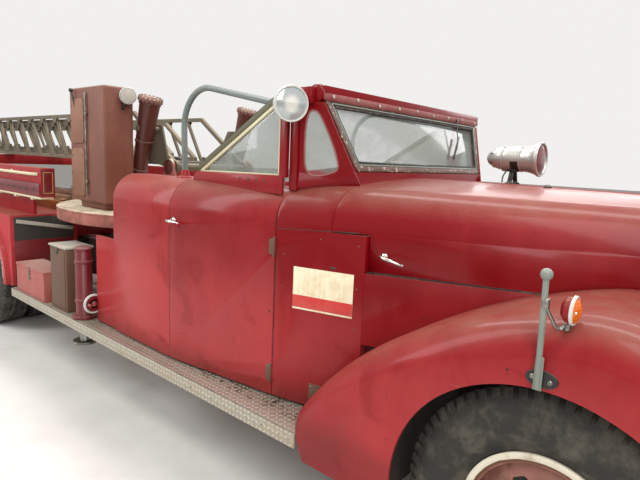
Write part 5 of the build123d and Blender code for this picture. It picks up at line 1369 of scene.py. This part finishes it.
class ENGINE_OT_pedestal(Build, bpy.types.Operator):
    """The operator's pedestal with cover plates, levers and its lamp"""
    bl_idname = "fire_engine.pedestal"
    bl_label = "Control pedestal"

    def make(self, look):
        dressed("control_pedestal", "pedestal_box", "pedestal", "turntable", 0.022, segments=4)
        for name, low, high in (("upper", 1.84, 2.2), ("lower", 1.4, 1.8)):
            plate = slab((0.575, -0.884, low), (0.8, -0.871, high), 0.0)
            editing(plate, "EDGE")
            bpy.ops.mesh.select_all(action="DESELECT")
            shape = bmesh.from_edit_mesh(plate.data)
            for edge in shape.edges:
                a, b = edge.verts
                edge.select = abs(a.co.y - b.co.y) > 0.005
            bmesh.update_edit_mesh(plate.data)
            bpy.ops.mesh.bevel(offset=0.045, segments=6, affect="EDGES")
            done()
            eased(plate, 0.004, 2, 50)
            one(plate, name + "_cover_plate", "cover", "turntable")
            spots = [(x, -0.884, z) for x in (0.592, 0.773)
                for z in (low + 0.06, (low + high) / 2, high - 0.06)]
            one(screws(spots + [(0.6825, -0.884, low + 0.014), (0.6825, -0.884, high - 0.014)], RIGHT, 0.006,
                0.003), name + "_cover_screws", "black", "turntable")
        rod = merged(bar((0.845, -0.885, 1.42), (0.845, -0.885, 2.24), 0.008, sides=12),
            slab((0.828, -0.892, 1.52), (0.862, -0.87, 1.545), 0.003),
            slab((0.828, -0.892, 2.06), (0.862, -0.87, 2.085), 0.003))
        one(rod, "pedestal_side_rod", "steel", "turntable")
        post = merged(bar((1.125, -0.72, 2.12), (1.172, -0.705, 2.175), 0.012, 0.011, 16, 0.002),
            bar((0.66, -0.868, 2.08), (0.63, -0.898, 2.265), 0.009, 0.007, 14, 0.001),
            lathe((0.628, -0.9, 2.268), UP, ((0, -0.018), (0.014, -0.012), (0.018, 0), (0.014, 0.012),
            (0, 0.018)), 18))
        one(post, "pedestal_levers", "black", "turntable")
        centre, out = Vector((1.185, -0.7, 2.221)), Vector((0.9, -0.42, 0.05)).normalized()
        bowl = lathe(centre, out, ((0, -0.075), (0.03, -0.07), (0.052, -0.048), (0.064, -0.014),
            (0.066, 0.004), (0.06, 0.01)), 36)
        one(bowl, "pedestal_lamp_bowl", "lamp_white", "turntable")
        lens = lathe(centre, out, ((0, 0.02), (0.03, 0.017), (0.058, 0.009), (0.058, 0.0), (0, 0.0)), 36)
        one(lens, "pedestal_lamp_lens", "pale_plate", "turntable")
        panel = slab((0.585, -0.624, 2.085), (0.835, -0.616, 2.245), 0.003)
        one(panel, "pedestal_lever_plate", "cover", "turntable")
        levers, knobs = [], []
        for step in range(4):
            x = 0.62 + step * 0.055
            levers.append(bar((x, -0.622, 2.165), (x + 0.02, -0.545, 2.245), 0.006, sides=10))
            knobs.append(lathe((x + 0.021, -0.543, 2.249), (0, 0.7, 0.7),
                ((0, -0.016), (0.012, -0.01), (0.016, 0), (0.012, 0.01), (0, 0.016)), 16))
        one(merged(*levers), "control_levers", "steel", "turntable")
        one(merged(*knobs), "lever_knobs", "black", "turntable")
        ribs = [(x, y, 1.3665 + 0.012) for x in (0.56, 0.83, 1.1) for y in (-0.845, -0.65)]
        one(screws(ribs, UP, 0.012, 0.006), "pedestal_foot_bolts", "cap", "turntable")


class ENGINE_OT_hoist(Build, bpy.types.Operator):
    """The raising rams with their bolted scalloped caps, bands and rods"""
    bl_idname = "fire_engine.hoist"
    bl_label = "Ladder hoist"

    def make(self, look):
        along = Vector((0.18, 0, 0.585)).normalized()
        dressed("hoist_barrels", "ram_barrels", "ram", "barrels", 0.002)
        dressed("hoist_rods", "ram_rods", "chrome", "rods", 0.001)
        caps, bands = [], []
        for side in (-1, 1):
            head = Vector((1.13, side * 0.514, 1.98)) + along * 0.2355
            caps.append(lathe(head, along, ((0.06, -0.004), (0.0925, -0.002), (0.095, 0.004), (0.095, 0.0185),
                (0.088, 0.0215), (0.052, 0.0225), (0.046, 0.031), (0.018, 0.036), (0, 0.036)), 48))
            across = along.cross(Vector(LEFT)).normalized()
            bolt = merged(bar(head + across * 0.09 - along * 0.012, head + across * 0.09 + along * 0.024,
                0.0105, sides=12, width=0.002), bar(head + across * 0.084 + along * 0.02,
                head + across * 0.084 + along * 0.031, 0.0085, sides=6, width=0.0015))
            caps.append(ring_of(bolt, look.cap_bolts, head, along))
            for at in (-0.02, -0.34, -0.59):
                radius = 0.084 + (0.056 - 0.084) * -at / 0.635
                bands.append(lathe(head, along, ((radius - 0.002, at - 0.014), (radius + 0.006, at - 0.01),
                    (radius + 0.006, at + 0.006), (radius - 0.001, at + 0.01)), 40))
        one(merged(*caps), "ram_caps", "cap", "barrels")
        one(merged(*bands), "ram_bands", "ram", "barrels")


class ENGINE_OT_ladders(Build, bpy.types.Operator):
    """Three trussed ladder sections with gussets, rung grips and pulleys"""
    bl_idname = "fire_engine.ladders"
    bl_label = "Turntable ladder"

    def make(self, look):
        for node, body, half, low, high, heel, tip in (
                ("ladder_base", "base_ladder", 0.366, 1.69, 2.15, 1.33, -4.98),
                ("ladder_mid", "mid_ladder", 0.306, 1.7233, 2.108, 0.67, -5.29),
                ("ladder_fly", "fly_ladder", 0.246, 1.7566, 2.066, 0.35, -5.6)):
            dressed(node, node + "_truss", "ladder", body, 0.0015, segments=1)
            self.gussets(node, body, half, low, high, heel, tip)
            self.rungs(node, body, half, low, heel, tip)

    def gussets(self, node, body, half, low, high, heel, tip):
        rake = (high - low - 0.036) * 1.5
        panel, plates = heel - rake, []
        y = half + 0.0185
        first = sheet_of([(-0.055, -y, high - 0.034), (0.055, -y, high - 0.034), (0.03, -y, high - 0.078),
            (-0.03, -y, high - 0.078)], (0, -0.004, 0))
        foot = sheet_of([(-0.055, -y, low + 0.034), (0.055, -y, low + 0.034), (0.025, -y, low + 0.074),
            (-0.025, -y, low + 0.074)], (0, -0.004, 0))
        rivets = screws([(-0.03, -y - 0.004, high - 0.046), (0.03, -y - 0.004, high - 0.046),
            (0, -y - 0.004, high - 0.066)], RIGHT, 0.006, 0.003)
        while panel - 0.61 > tip:
            plates.append(copy_of(first, (panel - 0.26, 0, 0)))
            plates.append(copy_of(rivets, (panel - 0.26, 0, 0)))
            plates.append(copy_of(foot, (panel, 0, 0)))
            panel -= 0.35
        for start in (first, foot, rivets):
            bpy.data.objects.remove(start)
        both_sides(merged(*plates), node + "_gussets", "ladder", (body, body))

    def rungs(self, node, body, half, low, heel, tip):
        """Ribbed grips on the rungs, and the tip's pulleys."""
        z, grips = low + 0.018, []
        outline, count = [(0.0152, -half + 0.06)], 9
        pitch = (2 * half - 0.12) / count
        for step in range(count):
            start = -half + 0.06 + pitch * step
            outline += [(0.0178, start + pitch * 0.12), (0.0178, start + pitch * 0.8),
                (0.0158, start + pitch * 0.92)]
        outline.append((0.0152, half - 0.06))
        grip = lathe((0, 0, z), LEFT, outline, 10)
        rung = heel - 0.2
        while rung > tip + 0.06:
            grips.append(copy_of(grip, (rung, 0, 0)))
            rung -= 0.35
        bpy.data.objects.remove(grip)
        one(merged(*grips), node + "_rung_grips", "black", body)
        wheel = lathe((tip + 0.14, 0, low + 0.12), LEFT,
            ((0.012, -0.005), (0.05, -0.005), (0.052, -0.003), (0.042, 0), (0.052, 0.003), (0.05, 0.005),
            (0.012, 0.005), (0.012, -0.005)), 28)
        pair = merged(copy_of(wheel, (0, -half + 0.0245, 0)), copy_of(wheel, (0, half - 0.0245, 0)))
        bpy.data.objects.remove(wheel)
        one(pair, node + "_pulleys", "steel", body)


class ENGINE_OT_rear_body(Build, bpy.types.Operator):
    """Rear body with its bed walls, rails, lined panels, fender strips, doors and step"""
    bl_idname = "fire_engine.rear_body"
    bl_label = "Rear body"

    def make(self, look):
        dressed("rear_body", "painted_rear_body", "red", "chassis", look.edge)
        self.wall_trim()
        self.fender_trim()
        self.side_doors()
        self.tail()

    def wall_trim(self):
        """The gold-lined end panel, the pale grab rail, the slotted rail and the strip under the wall."""
        front, low, high = 0.3102, 1.36, 1.612
        panel = slab((front, -1.034, low + 0.012), (front + 0.003, -0.926, high - 0.012), 0.001)
        both_sides(panel, "wall_end_panel", "deep_red")
        corners = [(-1.018, low + 0.036), (-0.942, low + 0.036), (-0.942, high - 0.036),
            (-1.018, high - 0.036)]
        lining = [(front + 0.0034, *corner) for corner in corners + corners[:1]]
        both_sides(strip_along(lining, 0.005, 0.0012, AHEAD, 0.0), "wall_gold_lining", "gold")
        rail = [pipe([(0.262, -1.044, 1.56), (0.25, -1.072, 1.56), (0.2, -1.08, 1.56), (-1.3, -1.08, 1.56),
            (-2.8, -1.08, 1.56), (-2.85, -1.072, 1.56), (-2.862, -1.044, 1.56)], 0.013, 6, 12)]
        for x in (-0.35, -0.95, -1.55, -2.15):
            rail.append(bar((x, -1.04, 1.56), (x, -1.08, 1.56), 0.009, sides=12))
            rail.append(lathe((x, -1.04, 1.56), RIGHT, ((0, 0), (0.022, 0), (0.02, 0.006), (0, 0.008)), 20))
        both_sides(merged(*rail), "wall_grab_rail", "cream")
        strip = slab((-2.9, -1.052, 1.372), (0.3, -1.04, 1.478), 0.003)
        both_sides(strip, "slotted_rail", "deep_red")
        slot = slab((-0.04, -1.0535, 1.413), (0.04, -1.0515, 1.431), 0.0)
        slots = [copy_of(slot, (0.16 - 0.15 * step, 0, 0)) for step in range(20)]
        bpy.data.objects.remove(slot)
        both_sides(merged(*slots), "rail_slots", "chassis")
        under = [slab((-2.9, -1.044, 1.342), (0.3, -0.93, 1.3595), 0.002)]
        for step in range(8):
            x = 0.1 - 0.4 * step
            under.append(slab((x - 0.018, -1.045, 1.325), (x + 0.018, -0.975, 1.3425), 0.003))
        both_sides(merged(*under), "wall_foot_strip", "cream")
        # A black panel in the recess at the top of the bay front: painted shade under the body.
        recess_painted_shade = slab((-0.0898, -1.135, 0.93), (-0.0865, -0.6, 1.15), 0.001)
        both_sides(recess_painted_shade, "bay_front_panel", "chassis")
        lower = slab((-0.0898, -1.135, 0.545), (-0.0875, -0.6, 0.926), 0.001)
        both_sides(lower, "bay_front_lower_panel", "deep_red")
        brace = [flat_bar((-0.07, -1.12, 1.115), (-0.07, -0.61, 1.02), 0.008, 0.034, UP, 0.002)]
        for share in (0.06, 0.5, 0.94):
            y, z = -1.12 + 0.51 * share, 1.115 - 0.095 * share
            brace.append(slab((-0.087, y - 0.014, z - 0.012), (-0.072, y + 0.014, z + 0.012), 0.002))
        both_sides(merged(*brace), "bay_front_brace", "pale_plate")

    def fender_trim(self):
        """A plated edge round the arch and two pale strips over the crown."""
        def arc(radius, y, start=4, end=176):
            angles = [math.radians(start + (end - start) * step / 14) for step in range(15)]
            return [(REAR_AXLE + radius * math.cos(a), y, AXLE_Z + radius * math.sin(a)) for a in angles]
        both_sides(pipe(arc(0.5745, -1.1965), 0.0052, 4, 8), "arch_moulding", "chrome")
        strips = [pipe(arc(radius, -1.1975, 8, 172), 0.0028, 4, 6) for radius in (0.6, 0.622)]
        both_sides(merged(*strips), "fender_pale_strips", "lamp_white")

    def side_doors(self):
        """Two compartment doors behind the wheel, each with a beaded edge, two hinges and a T-handle."""
        leaves, fittings = [], []
        for rear, front in ((-2.88, -2.19), (-2.16, -1.47)):
            leaf = slab((rear, -1.177, 0.56), (front, -1.1645, 1.125), 0.004)
            editing(leaf)
            choose(lambda place, normal: normal.y < -0.9)
            bpy.ops.mesh.inset(thickness=0.035, depth=0)
            bpy.ops.mesh.inset(thickness=0.006, depth=-0.004)
            done()
            leaves.append(leaf)
            for z in (0.66, 1.02):
                fittings.append(bar((front - 0.003, -1.181, z - 0.035), (front - 0.003, -1.181, z + 0.035),
                    0.006, sides=12, width=0.001))
            middle = (rear + 0.075, -1.176, 0.86)
            fittings.append(lathe(middle, RIGHT,
                ((0, 0), (0.021, 0), (0.019, 0.005), (0.008, 0.006), (0.008, 0.014), (0, 0.014)), 20))
            fittings.append(pipe([(middle[0], -1.1905, 0.825), (middle[0], -1.192, 0.86),
                (middle[0], -1.1905, 0.895)], 0.007, 4, 10))
        both_sides(merged(*leaves), "compartment_doors", "red")
        both_sides(merged(*fittings), "compartment_fittings", "chrome")

    def tail(self):
        step = slab((-3.106, -1.155, 0.5395), (-2.914, 1.155, 0.5435), 0.0015)
        one(step, "rear_step_plate", "tread")
        rails = []
        for y in (-0.48, 0.48):
            rails.append(pipe([(-2.908, y, 0.66), (-2.955, y, 0.68), (-2.958, y, 0.88), (-2.955, y, 1.08),
                (-2.908, y, 1.1)], 0.013, 6, 12))
        one(merged(*rails), "rear_grab_rails", "chrome")
        eye = lathe((-3.01, 0, 0.63), LEFT, ((0.0252, -0.0175), (0.048, -0.0165), (0.052, -0.015),
            (0.052, 0.015), (0.048, 0.0165), (0.0252, 0.0175)), 32)
        one(eye, "tow_eye_ring", "steel")


class ENGINE_OT_boxes(Build, bpy.types.Operator):
    """Lockers and toolbox on the running boards with their lids and catches"""
    bl_idname = "fire_engine.boxes"
    bl_label = "Lockers and toolbox"

    def make(self, look):
        dressed("side_lockers", "side_locker_boxes", "locker", "chassis", 0.006, segments=3)
        lid = slab((0.7, -1.15, 1.0102), (1.018, -0.922, 1.026), 0.004)
        both_sides(lid, "locker_lid_plate", "pale_plate")
        door = slab((0.735, -1.1445, 0.525), (0.985, -1.1395, 0.985), 0.003)
        both_sides(door, "locker_door", "locker")
        catch = merged(slab((0.845, -1.152, 0.955), (0.875, -1.143, 0.998), 0.003),
            bar((0.86, -1.152, 0.968), (0.86, -1.159, 0.968), 0.008, sides=14, width=0.001))
        both_sides(catch, "locker_catch", "steel")
        dressed("toolbox", "toolbox_body", "toolbox", "chassis", 0.002)
        dressed("toolbox_lid", "toolbox_lid_plate", "toolbox", "box_lid", 0.005, segments=3)
        hasp = merged(slab((0.296, -1.1665, 0.69), (0.324, -1.161, 0.756), 0.002),
            lathe((0.31, -1.1645, 0.704), RIGHT, ((0, 0), (0.011, 0), (0.009, 0.006), (0, 0.007)), 16))
        one(hasp, "toolbox_hasp", "steel", "box_lid")
        staple = merged(slab((0.29, -1.164, 0.64), (0.33, -1.16, 0.684), 0.0015),
            bar((0.31, -1.162, 0.662), (0.31, -1.172, 0.662), 0.007, sides=14, width=0.001))
        one(staple, "toolbox_staple", "steel")
        one(screws([(x, -1.16, z) for x in (0.045, 0.575) for z in (0.53, 0.62, 0.71)], RIGHT, 0.007, 0.003),
            "toolbox_rivets", "steel")


class ENGINE_OT_jacks(Build, bpy.types.Operator):
    """Screw jacks with bolted flanges, hand wheels and feet"""
    bl_idname = "fire_engine.jacks"
    bl_label = "Jacks"

    def make(self, look):
        dressed("jacks", "jack_columns", "deep_red", "chassis", 0.004)
        for side, body in (("right", "jack_r"), ("left", "jack_l")):
            dressed("jack_foot_" + side, "jack_screw_" + side, "steel", body, 0.003)
        x, y = 1.19, -1.085
        bolts = ring_of(screws([(x + 0.076, y, 0.522)], UP, 0.009, 0.009), 8, (x, y, 0.5), UP)
        bands = [lathe((x, y, z), UP, ((0.061, -0.014), (0.0675, -0.01), (0.0675, 0.01), (0.061, 0.014)), 36)
            for z in (0.64, 0.94)]
        cap = lathe((x, y, 1.05), UP, ((0, 0.014), (0.03, 0.013), (0.05, 0.009), (0.06, 0.0),
            (0.0655, -0.004), (0.0655, -0.02), (0.0615, -0.022)), 36)
        both_sides(merged(bolts, cap, *bands), "jack_fittings", "deep_red")
        rim = lathe((x + 0.148, y, 0.64), AHEAD,
            ((0.06, -0.009), (0.066, -0.0125), (0.073, -0.01), (0.0765, 0), (0.073, 0.01), (0.066, 0.0125),
            (0.06, 0.009)), 40)
        both_sides(rim, "hand_wheel_rim", "lamp_white")
        hub = lathe((x + 0.156, y, 0.64), AHEAD,
            ((0, 0.018), (0.01, 0.017), (0.018, 0.012), (0.021, 0.0), (0.034, 0)), 28)
        grip = bar((x + 0.156, y - 0.045, 0.64), (x + 0.2, y - 0.045, 0.64), 0.01, 0.012, 14, 0.003)
        both_sides(merged(hub, grip), "hand_wheel_hub", "dull_red")


class ENGINE_OT_front_end(Build, bpy.types.Operator):
    """Bumper, grille bars and their bolts"""
    bl_idname = "fire_engine.front_end"
    bl_label = "Front end"

    def make(self, look):
        dressed("bumper", "bumper_bar", "chrome", "chassis", 0.006, segments=3)
        bars = [bar((5.097, -0.284, z / 1000), (5.097, 0.284, z / 1000), 0.0105, sides=14)
            for z in range(990, 1480, 60)]
        bars.append(bar((5.112, 0, 0.955), (5.112, 0, 1.485), 0.014, sides=14))
        one(merged(*bars), "grille_bars", "chrome")
        corners = [(-0.272, 0.958), (0.272, 0.958), (0.272, 1.482), (-0.272, 1.482), (-0.272, 0.958)]
        edge = [(5.1165, *corner) for corner in corners]
        one(strip_along(edge, 0.02, 0.007, AHEAD), "grille_surround", "chrome")
        bolts = [(5.5985 - 0.13 * (y / 1.16) ** 2, y, 0.545) for y in (-0.95, -0.44, 0.44, 0.95)]
        heads = [lathe(spot, (1, spot[1] * 0.15, 0),
            ((0, 0.001), (0.02, 0.0005), (0.021, -0.004), (0.021, -0.012)), 24) for spot in bolts]
        one(merged(*heads), "bumper_bolts", "steel")
        cap = lathe((5.02, 0, 1.668), (0.1, 0, 1),
            ((0, 0.03), (0.022, 0.028), (0.034, 0.02), (0.036, 0.01), (0.03, 0.0), (0.028, -0.03)), 32)
        one(cap, "radiator_cap", "chrome")


class ENGINE_OT_chassis(Build, bpy.types.Operator):
    """Frame, axles, springs, steering linkage, engine and turntable ring"""
    bl_idname = "fire_engine.chassis"
    bl_label = "Chassis"

    def make(self, look):
        dressed("chassis_frame", "frame_rails", "chassis", "chassis", 0.003)
        dressed("front_axle", "front_beam_and_springs", "chassis", "chassis", 0.003)
        dressed("rear_axle", "rear_axle_and_springs", "chassis", "chassis", 0.003)
        dressed("tie_rod", "track_rod_tube", "chassis", "track_rod", 0.002)
        for side in ("left", "right"):
            dressed("steering_knuckle_" + side, "knuckle_forging_" + side, "chassis", "knuckle_" + side,
                0.003)
        dressed("turntable_base", "slewing_ring", "chassis", "chassis", 0.004)
        tooth = slab((TURNTABLE_X + 0.516, -0.009, 1.15), (TURNTABLE_X + 0.532, 0.009, 1.194), 0.0)
        one(ring_of(tooth, 88, (TURNTABLE_X, 0, 1.15), UP), "slewing_teeth", "steel")
        self.spring_clips()
        self.rivets()
        self.engine()

    def spring_clips(self):
        clips = []
        for x, z in ((FRONT_AXLE, 0.529), (REAR_AXLE, 0.616)):
            for offset in (-0.085, 0.085):
                clips.append(slab((x + offset - 0.011, -0.434, z - 0.04),
                    (x + offset + 0.011, -0.35, z + 0.042), 0.004))
            clips.append(slab((x - 0.11, -0.432, z + 0.028), (x + 0.11, -0.352, z + 0.046), 0.004))
        both_sides(merged(*clips), "spring_clips", "chassis")

    def rivets(self):
        spots = []
        for station in (-560, 1500, 2650, 3500, 4150, 4900, 6000, 7300):
            spots += [(FRONT_AXLE - station / 1000 + dx, -0.4302, z) for dx in (-0.024, 0.024)
                for z in (0.79, 0.85)]
        both_sides(screws(spots, RIGHT, 0.011, 0.007), "frame_rivets", "chassis")

    def engine(self):
        """A long engine: finned block, rocker cover, manifold, air cleaner and fan."""
        dressed("engine_block", "engine_and_gearbox", "engine", "chassis", 0.012, segments=3)
        cover = slab((3.86, -0.13, 1.325), (4.78, 0.13, 1.395), 0.018, 4)
        one(cover, "rocker_cover", "engine")
        nuts = screws([(x, 0, 1.395) for x in (3.98, 4.2, 4.42, 4.64)], UP, 0.014, 0.012)
        one(nuts, "rocker_nuts", "steel")
        runners = [pipe([(x, -0.298, 1.16), (x, -0.345, 1.165), (x - 0.02, -0.365, 1.11)], 0.022, 6, 12)
            for x in (3.92, 4.08, 4.24, 4.4, 4.56, 4.72)]
        log = pipe([(4.76, -0.365, 1.1), (4.3, -0.368, 1.095), (3.9, -0.368, 1.09), (3.83, -0.365, 1.02),
            (3.82, -0.362, 0.92)], 0.034, 6, 16)
        one(merged(*runners, log), "exhaust_manifold", "dull_red")
        cleaner = lathe((4.32, 0.36, 1.16), UP,
            ((0, 0.1), (0.05, 0.098), (0.085, 0.088), (0.095, 0.07), (0.095, -0.05), (0.08, -0.062),
            (0.03, -0.066), (0, -0.066)), 40)
        one(cleaner, "air_cleaner", "black")
        hub = lathe((4.875, 0, 1.12), AHEAD,
            ((0, 0.06), (0.03, 0.058), (0.04, 0.04), (0.04, 0.0), (0.055, -0.006)), 28)
        blade = flat_bar((4.915, 0.03, 1.12), (4.915, 0.205, 1.12), 0.07, 0.005, (1, 0, 0.5), 0.001)
        one(merged(hub, ring_of(blade, 6, (4.915, 0, 1.12), AHEAD)), "cooling_fan", "steel")


class ENGINE_OT_cab(Build, bpy.types.Operator):
    """Leather bench, steering wheel, dash instruments, levers and pedals"""
    bl_idname = "fire_engine.cab"
    bl_label = "Cab inside"

    def make(self, look):
        self.bench()
        dressed("steering_column", "steering_wheel_and_column", "black", "chassis", 0.007, segments=3)
        axis = Vector((-0.61, 0, 0.39)).normalized()
        hub = Vector((2.86, 0.42, 1.4)) + axis * 0.022
        horn = lathe(hub, axis, ((0, 0.024), (0.012, 0.023), (0.024, 0.017), (0.03, 0.006), (0.036, 0.0),
            (0.045, -0.004)), 32)
        one(horn, "horn_button", "chrome")
        self.dash()
        lever = merged(pipe([(3.06, 0.02, 0.948), (3.03, 0.02, 1.08), (2.96, 0.03, 1.22), (2.93, 0.03, 1.31)],
            0.01, 8, 10, radii=(1.3, 1.1, 1.0, 0.9)),
            lathe((2.926, 0.03, 1.325), (-0.2, 0, 1),
            ((0, -0.024), (0.016, -0.018), (0.024, 0), (0.018, 0.018), (0, 0.024)), 20),
            lathe((3.06, 0.02, 0.95), UP, ((0.07, 0), (0.066, 0.01), (0.03, 0.035), (0.014, 0.06)), 24))
        one(lever, "gear_lever", "black")
        pedals = []
        for y in (0.32, 0.52, 0.62):
            pedals.append(slab((3.245, y - 0.035, 1.03), (3.262, y + 0.035, 1.11), 0.004))
            pedals.append(bar((3.258, y, 1.05), (3.395, y, 1.005), 0.008, sides=10))
            for z in (1.045, 1.06, 1.075, 1.09):
                pedals.append(slab((3.24, y - 0.028, z - 0.003), (3.247, y + 0.028, z + 0.003), 0.001))
        one(merged(*pedals), "pedals", "black")
        mat = slab((2.6, -0.84, 0.9495), (3.6, 0.84, 0.9545), 0.002)
        one(mat, "ribbed_floor_mat", "rubber")

    def bench(self):
        """The bench's cushion and back: swollen by a cloth simulation, then sewn into channels."""
        cushion = self.swollen((2.092, -0.778, 1.094), (2.568, 0.778, 1.214), 0.013)
        self.channels(cushion, "x", 1.215, 9)
        one(cushion, "bench_cushion", "leather", "chassis", "seat")
        back = self.swollen((2.07, -0.778, 1.246), (2.198, 0.778, 1.556), 0.013)
        self.channels(back, "z", 2.19, 9)
        one(back, "bench_back", "leather")
        welts, corner = [], 0.03
        x0, y0, x1, y1 = 2.1, -0.77, 2.56, 0.77
        for z in (1.218, 1.09):
            loop = [(x0, y0 + corner, z), (x0 + corner, y0, z), (x1 - corner, y0, z), (x1, y0 + corner, z),
                    (x1, y1 - corner, z), (x1 - corner, y1, z), (x0 + corner, y1, z), (x0, y1 - corner, z),
                    (x0, y0 + corner, z)]
            welts += [bar(a, b, 0.0042, sides=8) for a, b in zip(loop, loop[1:])]
        one(merged(*welts), "bench_piping", "black")
        base = slab((2.075, -0.785, 1.0805), (2.575, 0.785, 1.098), 0.004)
        one(base, "bench_board", "black")

    def swollen(self, low, high, voxel):
        """A padded block: remeshed, and blown up a little as cloth under pressure."""
        frames, most = 20, 0.012
        piece = slab(low, high, 0.022, 3)
        pick(piece)
        piece.data.remesh_voxel_size = voxel
        bpy.ops.object.voxel_remesh()
        rest = [vertex.co.copy() for vertex in piece.data.vertices]
        scene = bpy.context.scene
        cloth = piece.modifiers.new("Cloth", "CLOTH")
        cloth.settings.quality = 5
        cloth.settings.mass = 0.4
        cloth.settings.tension_stiffness = cloth.settings.compression_stiffness = 22
        cloth.settings.bending_stiffness = 2.0
        cloth.settings.use_pressure = True
        cloth.settings.uniform_pressure_force = 4
        cloth.settings.effector_weights.gravity = 0
        cloth.point_cache.frame_start, cloth.point_cache.frame_end = 1, frames
        for frame_number in range(1, frames + 1):
            scene.frame_set(frame_number)
        pick(piece)
        bpy.ops.object.modifier_apply(modifier=cloth.name)
        scene.frame_set(1)
        for vertex, start in zip(piece.data.vertices, rest):
            step = vertex.co - start
            if step.length > most:
                vertex.co = start + step.normalized() * most
        return piece

    def channels(self, piece, along, face, count):
        """Sewn grooves across the face that the crew sits on or leans against, and the piece made smooth."""
        half, groove_width, groove_depth, reach = 0.78, 0.011, 0.016, 0.045
        for vertex in piece.data.vertices:
            place = vertex.co
            share = (place.y + half) / (2 * half) * count
            groove = math.exp(-((share - round(share)) * 2 * half / count / groove_width) ** 2) * groove_depth
            if along == "x" and place.z > face - reach:
                place.z -= groove
            if along == "z" and place.x > face - reach:
                place.x -= groove
        applied(piece, "SUBSURF", levels=1, render_levels=1)

    def dash(self):
        rims, faces, needles = [], [], []
        for y, z, radius in ((0.26, 1.5, 0.045), (0.42, 1.515, 0.058), (0.58, 1.5, 0.045), (-0.1, 1.5, 0.036),
                (0.02, 1.5, 0.036)):
            face = Vector((3.2595, y, z))
            rims.append(lathe(face, (-1, 0, 0),
                ((radius * 0.9, 0.002), (radius * 0.94, 0.01), (radius, 0.011), (radius * 1.06, 0.006),
                (radius * 1.08, 0)), 32))
            faces.append(lathe(face, (-1, 0, 0), ((0, 0.004), (radius * 0.6, 0.0035), (radius * 0.92, 0.003)),
                32))
            needles.append(flat_bar(face + Vector((-0.0055, 0, 0)),
                face + Vector((-0.0055, radius * 0.5, radius * 0.5)), 0.003, 0.001, AHEAD, 0.0))
        one(merged(*rims), "gauge_rims", "chrome")
        one(merged(*faces), "gauge_faces", "cream")
        one(merged(*needles), "gauge_needles", "black")
        knobs = [lathe((3.2595, y, 1.435), (-1, 0, 0),
            ((0.005, 0), (0.005, 0.012), (0.013, 0.014), (0.013, 0.022), (0, 0.024)), 18)
            for y in (0.1, 0.18, 0.26, 0.58, 0.66)]
        one(merged(*knobs), "dash_knobs", "black")
        door = slab((3.254, -0.62, 1.425), (3.2605, -0.24, 1.575), 0.003)
        one(door, "glove_box_door", "red")


class ENGINE_OT_ground_ladders(Build, bpy.types.Operator):
    """Wooden ground ladders in the bed with their straps and feet"""
    bl_idname = "fire_engine.ground_ladders"
    bl_label = "Ground ladders"

    def make(self, look):
        dressed("ground_ladders", "wooden_ladders", "wood", "chassis", 0.006, segments=3)
        shoes = []
        for y in (-0.59, -0.25, 0.25, 0.59):
            for x in (-0.268, -2.782):
                shoes.append(slab((x - 0.034, y - 0.0215, 1.1665), (x + 0.034, y + 0.0215, 1.2585), 0.003))
        one(merged(*shoes), "ladder_shoes", "steel")
        straps = [slab((x - 0.022, -0.63, 1.2565), (x + 0.022, 0.63, 1.26), 0.001) for x in (-0.9, -2.1)]
        one(merged(*straps), "hold_down_straps", "black")


class ENGINE_OT_finishes(Build, bpy.types.Operator):
    """Every paint, metal, glass, rubber, hide and wood that the pieces use"""
    bl_idname = "fire_engine.finishes"
    bl_label = "Finishes"

    def make(self, look):
        make_finishes(look)


OPERATORS = (
    ENGINE_OT_finishes, ENGINE_OT_stage, ENGINE_OT_body, ENGINE_OT_doors, ENGINE_OT_windscreen,
    ENGINE_OT_hoops, ENGINE_OT_lamps, ENGINE_OT_siren, ENGINE_OT_marker_posts, ENGINE_OT_boards,
    ENGINE_OT_wheels, ENGINE_OT_turntable, ENGINE_OT_pedestal, ENGINE_OT_hoist, ENGINE_OT_ladders,
    ENGINE_OT_rear_body, ENGINE_OT_boxes, ENGINE_OT_jacks, ENGINE_OT_front_end, ENGINE_OT_chassis,
    ENGINE_OT_cab, ENGINE_OT_ground_ladders,
)


class ENGINE_PT_panel(bpy.types.Panel):
    """The vehicle's settings, and a button for each group of pieces"""
    bl_idname = "ENGINE_PT_panel"
    bl_label = "Fire engine"
    bl_space_type = "VIEW_3D"
    bl_region_type = "UI"
    bl_category = "Fire Engine"

    def draw(self, context):
        look = context.scene.fire_engine
        settings = self.layout.column()
        for name in FireEngineLook.__annotations__:
            settings.prop(look, name)
        for operator in OPERATORS:
            self.layout.operator(operator.bl_idname)


CLASSES = (FireEngineLook, *OPERATORS, ENGINE_PT_panel)


def register():
    for kind in CLASSES:
        bpy.utils.register_class(kind)
    bpy.types.Scene.fire_engine = bpy.props.PointerProperty(type=FireEngineLook)


def unregister():
    del bpy.types.Scene.fire_engine
    for kind in reversed(CLASSES):
        bpy.utils.unregister_class(kind)


def main():
    register()
    for operator in OPERATORS:
        getattr(bpy.ops.fire_engine, operator.bl_idname.split(".")[1])()


if __name__ == "__main__":
    main()
